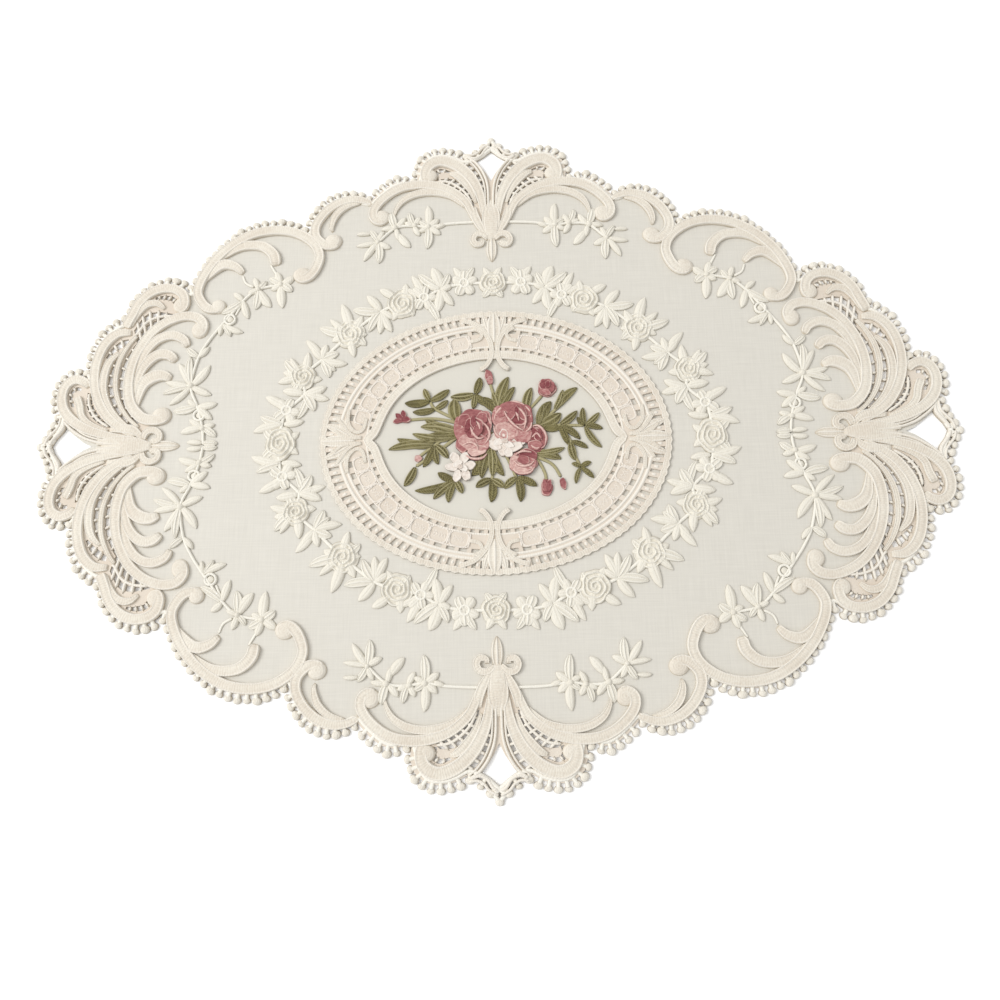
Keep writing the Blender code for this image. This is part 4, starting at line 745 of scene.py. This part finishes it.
def spiral_rose(x, y, radius_x, radius_y, turn, floor=0.9, height=2.4):
    """A rose from above, as a dome over a polar grid: its rim swells into petals, and a ridge winds in from it,
    one turn for every pitch's share of the radius. The rim share is high on the ridge."""
    share = np.linspace(1, 0, ROSE_RINGS)[:, None]
    angle = full_turn(ROSE_SIDES)[None, :]
    reach = share * (1 + 0.09 * np.abs(np.cos(ROSE_PETALS / 2 * (angle + turn))) - 0.05)
    waved = 0.75 * share * np.sin(3 * angle + 8 * share + 4 * turn)
    arm = np.cos(2 * math.pi * (share / RIDGE_PITCH - angle / (2 * math.pi) - turn) + waved)
    ridge = np.clip(arm, 0, 1) ** 1.5 * np.clip(share * 5, 0, 1)
    dome = np.sqrt(np.clip(1 - share**6, 0, 1))
    rise = dome * (0.36 + 0.12 * (1 - share)) + 0.54 * ridge * np.clip(dome * 1.4, 0, 1)
    points = np.stack((x + reach * np.cos(angle) * radius_x, y + reach * np.sin(angle) * radius_y,
                       floor + rise * height), axis=-1)
    marks = np.stack((share * radius_x * np.ones_like(angle), share * np.sin(angle) * radius_y, ridge), axis=-1)
    return closed_below(points, marks, (x, y, floor))


WREATH_FILLERS = (
    (46, 72.5, ((44.4, 83.6, 4.4), (40.2, 66, 4), (50.8, 63.6, 4))), (0.4, 83, ((4.6, 91.8, 3.6), (5, 75.2, 3.6))),
    (72, 56.6, ((81, 53, 4.2), (64, 50.6, 4), (66, 66.4, 4.2), (63.6, 56.4, 3.6))),
    (95.4, 34.6, ((85.8, 33.2, 4), (100, 25.4, 4), (105.4, 37, 4))), (86, 43.4, ((94.2, 54, 4), (77.6, 46.6, 4))),
    (105, 0.4, ((96, 5.6, 4), (113.4, 8.4, 4.2))), (14.6, 83, ((20, 92, 3.6), (9.4, 92, 3.4))),
    (35, 75.4, ((41.4, 88, 4), (27.6, 62.6, 3.6), (45.4, 80.6, 3.4))), (92, 26, ((82, 22.4, 3.8), (97, 12.6, 3.6))),
)
wreath = [carried(WREATH_STEM, 1.6, CORD, CLOTH_LEVEL, 1.05)] + clusters(WREATH_FILLERS, height=1.5)
wreath += clusters(WREATH_LEAVES) + clusters(WREATH_FLOWERS, shares=PETAL_SHARES)
wreath += [spiral_rose(*row) for row in WREATH_ROSES if row[0] and row[1]]
for x, y, _ in WREATH_FLOWERS:
    wreath += ringed_knot(x, y, 2.2, 1.2)
on_axes = in_quarters([spiral_rose(*WREATH_ROSES[0])], BACK_AND_FRONT)
on_axes += in_quarters([spiral_rose(*WREATH_ROSES[-1])], BOTH_ENDS)
rose_wreath = piece("wreath_stitching", in_quarters(wreath) + on_axes, leaf_cotton, ("rose_wreath",))

# The oval frame: a band of net cells between two ladders, held by cords, and a fence of bars out to a beaded
# rim. A lily stands across it at each end of the width, and a palm at each end of the length.
OVAL_CORDS = (
    ("inner_cord", 57.6, 43.1, 4.4, 1.75),
    ("cell_cord_in", 62.3, 47.5, 1.3, 1.2),
    ("band_cord_in", 73.9, 57.4, 1.5, 1.4),
    ("band_cord_out", 76.2, 59.4, 1.8, 1.5),
    ("rim_cord", 84.1, 65.5, 2.8, 1.5),
)
OVAL_PITS = (((60.1, 45.5), (61.8, 47), 80, 0.48), ((70.8, 54.8), (73.1, 56.7), 66, 0.6),
             ((77.3, 60.4), (82.4, 64.1), 112, 0.46))
RIM_BEADS = 112
FRAME_TOP = 1.5
PLATE_RIM, PLATE_OPENING, PLATE_LEVELS = (83.8, 65.2), (57, 42.6), (0.96, 2.0)
BAND_MIDDLE = (66.4, 51)


def on_oval(half_length, half_width, turn):
    """Points on an oval at turns from the +Y axis towards the +X axis."""
    return np.stack((half_length * np.sin(turn), half_width * np.cos(turn)), axis=-1)


def notched(points):
    """Near each end of the length, x grows by a share that dies away with the distance from the axis."""
    return points * (1 + 0.075 * np.exp(-np.abs(points[:, 1:]) / 3.6) * (1, 0))


def even_turns(half_length, half_width, count):
    """Turns that step evenly along an oval's edge."""
    fine = np.linspace(0, 2 * math.pi, 2001)
    line = on_oval(half_length, half_width, fine)
    run = distances(line)
    return np.interp((np.arange(count) + 0.5) / count * run[-1], run, fine)


steps = np.linspace(0, 2 * math.pi, 121)[:-1]
pits = [notched(on_oval(*PLATE_OPENING, np.linspace(0, 2 * math.pi, 241)[:-1]))]
for near, far, count, share in OVAL_PITS:
    middle, step = even_turns(*near, count), 2 * math.pi / count
    for turn in middle:
        lean = share / 2 * step
        pits.append(np.array([on_oval(*near, turn - lean), on_oval(*near, turn + lean), on_oval(*far, turn + lean),
                              on_oval(*far, turn - lean)]))
frame_plate = dressed("frame_plate", panel("frame_plate", [on_oval(*PLATE_RIM, steps)], pits, *PLATE_LEVELS)[0],
                      net_cotton, ())
frame_parts = []
for name, a, b, width, height in OVAL_CORDS:
    turns, widths = even_turns(a, b, 90), width
    if name == "rim_cord":
        turns = even_turns(a, b, RIM_BEADS)
        turns = np.stack((turns, turns + np.pi / RIM_BEADS), axis=1).ravel()
        widths = np.tile((width + 0.9, width - 0.5), RIM_BEADS)
    line = on_oval(a, b, turns)
    frame_parts.append(carried(notched(line) if name == "inner_cord" else line, widths,
                               CORD if width < 2 else SATIN, 1.0, height, step=1.6, closed=True))
near, far, count, _ = OVAL_PITS[-1]
frame_parts += [carried([on_oval(*near, turn), on_oval(*far, turn)], 1.7, CORD, 1.6, 0.85, step=3.0, blunt=(0.3, 0.3))
                for turn in even_turns(*near, count) + math.pi / count]
band_turn = np.radians(np.linspace(9, 82.5, 30))
FELT = section(((1, 0, 1), (1, 0.7, 1), (0.93, 1, 1), (0.86, 1, 1), (0.8, 0.62, 0), (0, 0.68, 0)))
band = [carried(on_oval(*BAND_MIDDLE, band_turn), 8.4, FELT, 1.4, 0.9, step=1.5)]
cell_turns = np.interp(np.linspace(0.02, 0.98, 9), np.linspace(0, 1, 30), band_turn)
around = full_turn(16)
cos, sin = np.cos(around), np.sin(around)
for start, end in zip(cell_turns, cell_turns[1:]):
    centre = on_oval(*BAND_MIDDLE, (start + end) / 2)
    ahead = on_oval(*BAND_MIDDLE, end) - on_oval(*BAND_MIDDLE, start)
    reach, turn = np.linalg.norm(ahead) / 2, math.atan2(ahead[1], ahead[0])
    axes = np.array(((math.cos(turn), math.sin(turn)), (-math.sin(turn), math.cos(turn))))
    ring = np.stack((np.sign(cos) * np.abs(cos) ** 0.6 * (reach - 0.5), np.sign(sin) * np.abs(sin) ** 0.6 * 3.7),
                    axis=1)
    band.append(carried(centre + ring @ axes, 0.8, CORD, 1.8, 0.6, step=0.9, closed=True))
    for slope in (-1, 1):
        for shift in (-0.5, 0.1, 0.7):
            low, high = np.clip((shift - 0.5, shift + 0.5), -0.68, 0.68) * reach
            strand = np.array(((low, -slope * 2.5), ((low + high) / 2, 0), (high, slope * 2.5)))
            band.append(carried(centre + strand @ axes, 0.34, CORD, 1.8, 0.32, step=1.6))
    border = np.array(((-reach, -4), (-reach - 0.2, 0), (-reach, 4)))
    band.append(carried(centre + border @ axes, 0.9, CORD, 2.0, 0.6, step=1.2))
FRAME_STITCHES = (
    (2.5, ((7.2, 35.2), (4.4, 37.2), (1.9, 41.6), (1.6, 48), (4, 54), (9.6, 59.8), (17, 62.4))),
    (1.8, ((12.4, 50.2), (7.4, 51.6), (6.4, 55.2), (11, 58))),
    (1.8, ((71.6, 17), (71.6, 9), (68, 4.4), (64.4, 5.6), (62.6, 12))),
    (1.8, ((64.4, 1.2), (68.4, 2.2), (72.4, 5), (77, 11.6))), (1.6, ((66, 1.2), (72, 1.6), (76, 3.4), (79.6, 7.4))),
)
stitched = [carried(path, width, SATIN, 1.4, 1.6, step=0.9) for width, path in FRAME_STITCHES]
stitched += [leaf((70, 1.4), (83, 8.4), 4, FRAME_TOP, 1.3, 0.06), leaf((70, 1), (78.4, 13), 3.2, FRAME_TOP, 1.2, 0.08),
             leaf((1.4, 53), (5.4, 65), 3, FRAME_TOP, 1.2, -0.06)]
lily = in_quarters([leaf((0, 49), (0, 66.4), 6.6, FRAME_TOP, 1.6)], BACK_AND_FRONT)
lily += in_quarters([leaf((67.4, 0), (85.4, 0), 5.6, FRAME_TOP, 1.6)], BOTH_ENDS)
oval_frame = piece("frame_stitching", frame_parts + in_quarters(stitched) + lily, cream_cotton, ("oval_frame",))
net_band = piece("net_band", in_quarters(band), net_cotton)

# The bouquet's leaves and stems: olive silk in slanted satin stitch, with a paler vein, in the frame's middle.
BOUQUET_STEMS = (
    ((1, 1), (-17, 9), (-29, 15.5), (-31.7, 19.7)), ((-16, 7.6), (-29, 10.4), (-42, 10.2)),
    ((1, 0), (-18, 3), (-29, -3), (-37, -9)), ((-17, 2), (-29, -7.4), (-38.4, -13.6)),
    ((1, -1), (-11, -14), (-21, -23)),
    ((0, 1), (-0.5, -12), (-1.5, -21.4)), ((1, 0), (7, -12), (10.6, -20.6)),
    ((1, 0), (18, -9), (23.6, -17), (24.4, -23)),
    ((17, -8.2), (27, -13), (31.6, -20)), ((0, 0), (22, 7), (31, 6.4), (43.6, 6.2)),
    ((21, 6.4), (29, 14), (36, 20.6)),
    ((30, 6.6), (36, -1), (38.4, -9), (40.9, -15)), ((0.6, 0), (1.6, 13), (-1.2, 24), (-2.6, 29)),
    ((1.4, 11), (-5, 19), (-9.8, 22.7)), ((0, 0), (15, 13), (23.4, 22)),
)
BOUQUET_LEAVES = (
    (-31.7, 19.7, ((-44, 19, 4.6), (-22.4, 25.4, 4.2), (-34.6, 26.2, 3.4))),
    (-29, 15.5, ((-40, 14.2, 3.8), (-23, 19.8, 3.4))),
    (-18, 8.4, ((-19.6, 20.4, 7),)),
    (-16, 2.6, ((-34, 10.4, 5.4), (-36, 6.4, 5.4), (-33.4, 1.6, 5.6))),
    (-20, 0.6, ((-40, 3, 4.4), (-38, -2.4, 4.4))),
    (-29, -3, ((-47.4, 0.6, 4.8), (-51.6, -4.8, 4.8), (-34.6, -13.8, 4), (-27.2, -12.6, 4), (-22.6, -9.6, 4.4))),
    (-38.4, -13.6, ((-43.8, -23, 4.4),)),
    (-19, -21, ((-38.4, -25.4, 4.2), (-29.4, -29.6, 4.4), (-27.4, -16.8, 4.2), (-22.2, -31.4, 4.2), (-15.6, -27, 4))),
    (-1.5, -20.4, ((-1.8, -31.6, 4.6), (-9, -24.2, 4.2), (4.4, -24.4, 4))),
    (10.6, -19.6, ((12.2, -31.6, 4.6), (4.6, -25, 4), (20, -24, 4))),
    (-2, -4, ((-11, -18.4, 6.4), (-6.4, -19.6, 5.6), (-1.2, -19, 5), (4.4, -18.6, 5))),
    (19, -7.6, ((31.6, -10.6, 4.8), (33.4, -5, 3.6))),
    (21, 6, ((27.4, 18.4, 6), (32, 12.4, 6.4), (31.4, 4.4, 5.6), (23.6, 17, 4.6))),
    (31, 6.4, ((41, -0.8, 3.8), (40, 13.6, 4), (35, -3.4, 3.6))),
    (43.6, 6.2, ((43, 15.2, 3.4), (50.8, 12.6, 3.4), (52.2, 4.4, 3.2), (51.4, -5, 3.6), (40, 10.4, 3))),
    (29, 14, ((40.6, 25.4, 4.8), (33.4, 24.4, 3.6))),
    (36.4, -2, ((44.6, -5.4, 3), (38.6, -11.4, 4.2))),
    (40.9, -15, ((46, -12.4, 2.8), (38.4, -23, 2.8), (47, -20.4, 2.8), (36.6, -13, 2.4))),
    (1.6, 13, ((6.6, 31.4, 6), (-7.6, 20.6, 5.4), (9.6, 26, 4.8), (-1.4, 23.6, 4.6))),
    (-9.8, 22.7, ((-21.6, 21.6, 4.8), (-7.4, 31.4, 4.4), (-10.8, 15.2, 3.4), (-2.4, 17, 4))),
    (15, 13, ((18, 25.6, 5),)),
)
BOUQUET_BOWS, LEAF_TONES = (0.07, -0.06, 0.04, -0.08), (1, 0.3, 0.75, 0.15, 0.55)
foliage = [carried(path, [2.0] + [1.5] * (len(path) - 1), CORD, 0.9, 1.0) for path in BOUQUET_STEMS]
for x, y, leaves in BOUQUET_LEAVES:
    for i, (*tip, width) in enumerate(leaves):
        points, quads, marks = leaf((x, y), tip, width * 0.84, 0.95 + 0.07 * (i % 3), 1.6, BOUQUET_BOWS[i % 4],
                                    step=0.8)
        foliage.append((points, quads, marks * (1, 1, LEAF_TONES[(i + round(x)) % 5])))
# Its fourth colour is painted shade at the foot of the leaves and stems.
olive_silk = thread_material("olive_silk", "#857D52", "#A59D78", "#4C4528", "#3C3620", (0.95, 1.6), pitch=1.2,
                             slant=0.9, streak=0.28)
bouquet_leaves = piece("bouquet_leaves", foliage, olive_silk, ("bouquet_foliage",))

# The bouquet's roses, blossoms and buds: petals of rose and white silk, each with a paler rim, laid over one
# another from the outside in. A row is the petal's centre, its half length and half width, its turn, its level
# and its tone, from 0 for the deepest rose to 1 for the palest. The lowest tones, given to the small top petals at
# each rose's heart, are painted shade between the innermost petals.
ROSES = {
    "rose_left": (
        (-10.4, 4.4, 8.4, 10.6, 0, 0, 0.48), (-15.2, 3, 4.4, 8.2, 15, 1, 0.52), (-5.6, 6.4, 4, 7.6, -12, 1, 0.36),
        (-10.6, 10.6, 6.2, 4, -6, 2, 0.28), (-12.4, -2.6, 5.6, 3.6, -32, 2, 0.72), (-6.4, -2.4, 3.6, 4.6, 30, 2, 0.6),
        (-15.6, -3.6, 3.2, 3.8, 20, 1.6, 0.42), (-8.4, -6.4, 4.8, 2.8, 12, 1.9, 0.86),
        (-14.6, 8.8, 3.2, 3.4, 35, 2.4, 0.25),
        (-6.4, 9.6, 3, 3.4, -35, 2.4, 0.35), (-10, 5, 4.4, 5.4, -20, 3, 0.15), (-13, 6.2, 1.5, 3.8, -16, 3.5, 0.02),
        (-8.4, 3.4, 2.4, 3.8, -30, 4, 0.3), (-10.4, 7.6, 1.5, 3.4, 6, 4.2, 0.1),
    ),
    "rose_crown": (
        (8.6, 9.8, 9.2, 8.6, 0, 0, 0.7), (4, 9.2, 5.4, 7.4, 18, 1, 0.6), (13.4, 9.4, 4.8, 7.8, -14, 1, 0.45),
        (9, 14.6, 6.4, 3.4, -12, 2, 0.4), (3, 13.2, 3.4, 3, 35, 1.5, 0.5), (14.8, 13.4, 3.2, 3, -30, 1.7, 0.3),
        (5.4, 3, 6, 4.8, -14, 1.4, 0.74), (13.4, 1.6, 4.6, 4.6, 25, 1.5, 0.6), (11, 10.6, 4.8, 5.4, 0, 3, 0.08),
        (8, 11.6, 2, 4.4, -28, 4, 0.35), (13, 11.4, 1.8, 3.6, 18, 4, 0.3), (10.6, 12.6, 1.2, 3, 4, 4.6, 0),
    ),
    "rose_right": (
        (20.2, -0.6, 5, 6.6, 0, 0, 0.3), (18.4, 1.6, 3, 3.8, 20, 1, 0.14), (22.4, -1.6, 2.8, 4.2, -20, 1, 0.36),
        (19.2, -4, 3.6, 2.6, 0, 2, 0.5), (20.6, 0.4, 2, 2.6, 0, 3, 0.05),
    ),
    "rose_low": (
        (13.4, -12.4, 6.8, 5.6, 0, 0, 0.7), (15.8, -8.6, 4.8, 3, -12, 1, 0.1), (10, -12.6, 3, 4, 14, 1, 0.8),
        (13.2, -15.2, 4.6, 2.6, 0, 2, 0.86), (16.8, -13.2, 3, 3.2, 0, 2, 0.6), (13.8, -11.4, 3, 2.2, -16, 3, 0.3),
    ),
}
ROSE_LIPS = {
    "rose_left": (
        (1, (-16.2, 3.7), (-14.4, 9.4), (-8.8, 11.9), (-3.7, 10), (-1.8, 5.6)),
        (4, (-12, 6.5), (-10.7, 2.3), (-8, -0.6), (-4.8, 0)),
        (3, (-7.1, 8.6), (-3.7, 5.1), (-2.6, 0.8), (-4.8, -3.4)),
        (3, (-16.2, -4.1), (-12, -2.5), (-8.8, -4.1), (-7.8, -7.2)),
        (2, (-14.2, -8.4), (-10.7, -10.4), (-6.1, -10.2), (-3.4, -7.6)), (4, (-9.6, 8.6), (-7.6, 6), (-7.2, 2.4)),
    ),
    "rose_crown": (
        (1, (-0.7, 7.9), (1, 12.9), (6.3, 17.4), (11.5, 17.6), (16.5, 13.6), (17.6, 8.6)),
        (4, (4.3, 13.6), (6.3, 9.3), (10.2, 5.1), (14.1, 3)), (4.2, (8.2, 15.5), (12.2, 13.6), (14.8, 9.3),
                                                               (14.1, 3.7)),
        (2, (-0.7, 6.5), (0.6, 1.6), (5, -1.4), (10.2, -2.4)), (4.6, (9.2, 13.4), (10.8, 10.8), (11.6, 7.6)),
        (2.6, (14.4, 2.4), (17, 4.6), (17.8, 8)),
    ),
    "rose_right": (
        (2, (17.6, 5.6), (21.3, 5.4), (24.4, 1), (24, -4)), (3, (17.4, -0.4), (20.2, 1.6), (22.6, -2)),
        (2, (16.6, -3.4), (19.2, -5.6), (22.4, -5)),
    ),
    "rose_low": (
        (3, (8.9, -11.6), (11.5, -14.2), (16.1, -14.2), (19.3, -11.4)),
        (2, (8, -15.4), (11.4, -17.9), (16.4, -17.6), (19, -15)),
        (2.6, (9.4, -9), (13, -7.2), (18, -7.6)),
    ),
}
BLOSSOMS = {
    "blossom_heart": (
        (0, 0, 4, 2.4, 35, 0, 0.5), (4.2, 1.4, 2.2, 3, 8, 0.6, 0.6), (8.2, -0.4, 3.8, 2.2, -32, 0, 0.5),
        (-0.2, -4, 3.8, 2, -28, 0.9, 0.55), (4, -6.2, 2.6, 3, 10, 0.3, 0.5), (9.6, -4.8, 4, 2.2, 24, 0.8, 0.6),
        (6.4, -7.4, 2.2, 2.6, 30, 1, 0.6), (2, -2.2, 3, 1.8, 20, 1.6, 0.7), (6.4, -3.6, 3, 1.6, -24, 1.8, 0.7),
        (4.6, -2, 1.8, 1.2, 0, 2.6, 0.3), (12, -2.2, 2.8, 1.6, 0, 0.2, 0.55),
    ),
    "blossom_low": (
        (-19, -10, 2.2, 3.4, 30, 0, 0.5), (-14.6, -10, 2.2, 3.2, -26, 0.5, 0.6),
        (-12.2, -13.6, 3.2, 2.2, 12, 0, 0.55),
        (-13.8, -18.2, 2.2, 3, 24, 0.7, 0.5), (-18, -18.6, 2, 3.2, -12, 0.2, 0.6),
        (-20.6, -14.4, 3.2, 2, -8, 0.8, 0.55),
        (-17.8, -13, 2.6, 1.6, 30, 1.6, 0.7), (-15, -15, 2.4, 1.6, -30, 1.8, 0.7),
        (-16.6, -14.4, 1.4, 1.2, 0, 2.6, 0.3),
    ),
}
BUDS = {
    "bud_top": ((-3, 32, 2, 3.4, 12, 0, 0.42), (-2.4, 29.6, 1.6, 2.2, 0, 1, 0.6)),
    "bud_rose": ((25.6, 25.4, 4.6, 4.8, 0, 0, 0.5), (24.2, 26.6, 2.6, 3.2, 20, 1, 0.15),
                 (27.2, 25.4, 2.2, 3.4, -20, 2, 0.3),
                 (24.8, 22.8, 2.8, 1.7, -20, 3, 0.55), (26, 26.8, 1.3, 1.8, 0, 3.4, 0.02)),
    "bud_left": ((-43.4, 10.2, 2.4, 1.6, 0, 1, 0.05), (-46.6, 12, 2.4, 1.3, -35, 0, 0.1),
                 (-47, 9.8, 2.8, 1.3, 8, 0, 0.15),
                 (-44.6, 13, 1.3, 2.2, 10, 0, 0.1)),
    "bud_low": ((24.6, -25, 2.8, 4.2, 0, 0, 0.25), (23.6, -24, 1.3, 3.2, 8, 1, 0.35),
                (25.6, -24, 1.3, 3.2, -8, 1, 0.2)),
    "bud_small": ((32.4, -23, 1.5, 3, 14, 0, 0.3),),
    "bud_pale": ((-37, -9.6, 1.9, 1.7, 0, 0, 0.75),),
}
PETAL_SIDES = 28
PETAL_ROWS = np.array(((1, 0, 0.5, 0), (1, 0, 0.5, 0.4), (0.985, 0.55, 0.75, 0.8), (0.93, 0.95, 0.95, 1),
                       (0.85, 1, 0.7, 1), (0.76, 0.82, 0.1, 1), (0.6, 0.74, 0, 1), (0.4, 0.78, 0, 1),
                       (0.2, 0.84, 0, 1), (0, 0.86, 0, 1)))
PETAL_DEPTH, PETAL_CROWN, PETAL_LIFT = 0.3, 0.75, 0.42


def petal(x, y, half_length, half_width, turn, level, tone, floor):
    """A petal over a polar grid: flat and a little hollow in the middle, with a rounded rim that stands up. A row
    gives the share of the reach, of the rise, of the rim and of the tone; the first is the base. Its stitch
    coordinates are kept, and the last mark holds the tone, raised to the palest on the rim and brought down to the
    deepest on the base rows, which is painted shade round the petal's foot."""
    share, rise, rim, painted_foot_shade = PETAL_ROWS.T[:, :, None]
    angle = full_turn(PETAL_SIDES)[None, :]
    lip = 0.55 + 0.45 * np.cos(angle - 2.3 * x - 1.1 * y)
    wave = 1 + 0.05 * np.cos(5 * angle + x) + 0.04 * np.cos(3 * angle + 2 * y)
    px, py = share * wave * np.cos(angle) * half_length, share * wave * np.sin(angle) * half_width
    cos, sin = math.cos(math.radians(turn)), math.sin(math.radians(turn))
    points = np.stack((x + px * cos - py * sin, y + px * sin + py * cos,
                       floor + level * PETAL_LIFT + rise * PETAL_CROWN * np.ones_like(angle)), axis=-1)
    points[0, :, 2] = floor - PETAL_DEPTH
    # The tone falls to nothing on the base rows: painted shade round the petal's foot.
    marks = np.stack((py, px, np.maximum(tone, rim * lip) * painted_foot_shade), axis=-1)
    return closed_below(points, marks, (x, y, floor - PETAL_DEPTH))


def silk_material(name, deep, middle, pale):
    """Rose silk in satin stitch: its tone follows the mark kept on each point, from deep to pale, broken up by
    the stitches and by shaded thread, and it shines a little more than the cotton does."""
    made, tree, shader = empty_material(name, Roughness=0.6, Specular_IOR_Level=0.3, Sheen_Weight=0.12)
    at, along, share = stitch_marks(tree)
    cloud = noise(tree, at, 480.0, 4.0, Roughness=0.7)
    drawn = node(tree, "ShaderNodeMapping", [("Vector", along)], Scale=(1, 0.25, 1)).outputs["Vector"]
    both = maths(tree, "ADD", cloud, noise(tree, drawn, 1.6, 2.0))
    shifted = maths(tree, "SUBTRACT", maths(tree, "MULTIPLY_ADD", both, 0.75, share), 0.75)
    ramp = node(tree, "ShaderNodeValToRGB", [("Fac", shifted)])
    ramp.color_ramp.elements[0].color, ramp.color_ramp.elements[1].color = linear(deep), linear(pale)
    ramp.color_ramp.elements.new(0.5).color = linear(middle)
    painted(tree, shader, ramp.outputs["Color"], both, 0.6, STITCH_BUMP)
    return made


rose_silk = silk_material("rose_silk", "#7A383D", "#A66C6A", "#DDBFB4")
white_silk = silk_material("white_silk", "#B5A294", "#DDD2C7", "#EEE9E1")
LIP = section(((1, 0, 0), (1, 0.7, 0.25), (0.8, 0.92, 0.75), (0, 1, 0.95)))
for table, silk, slot, floor in ((ROSES, rose_silk, "rose_thread", 1.7), (BLOSSOMS, white_silk, "white_thread", 2.0),
                                 (BUDS, rose_silk, "rose_thread", 1.3)):
    for name, rows in table.items():
        lips = [carried(line, (0.5, *[1.25] * (len(line) - 2), 0.5), LIP, floor, 0.95 + PETAL_LIFT * level, step=0.7)
                for level, *line in ROSE_LIPS.get(name, ())]
        piece(f"{name}_petals", [petal(*row, floor) for row in rows] + lips, silk, (name,))
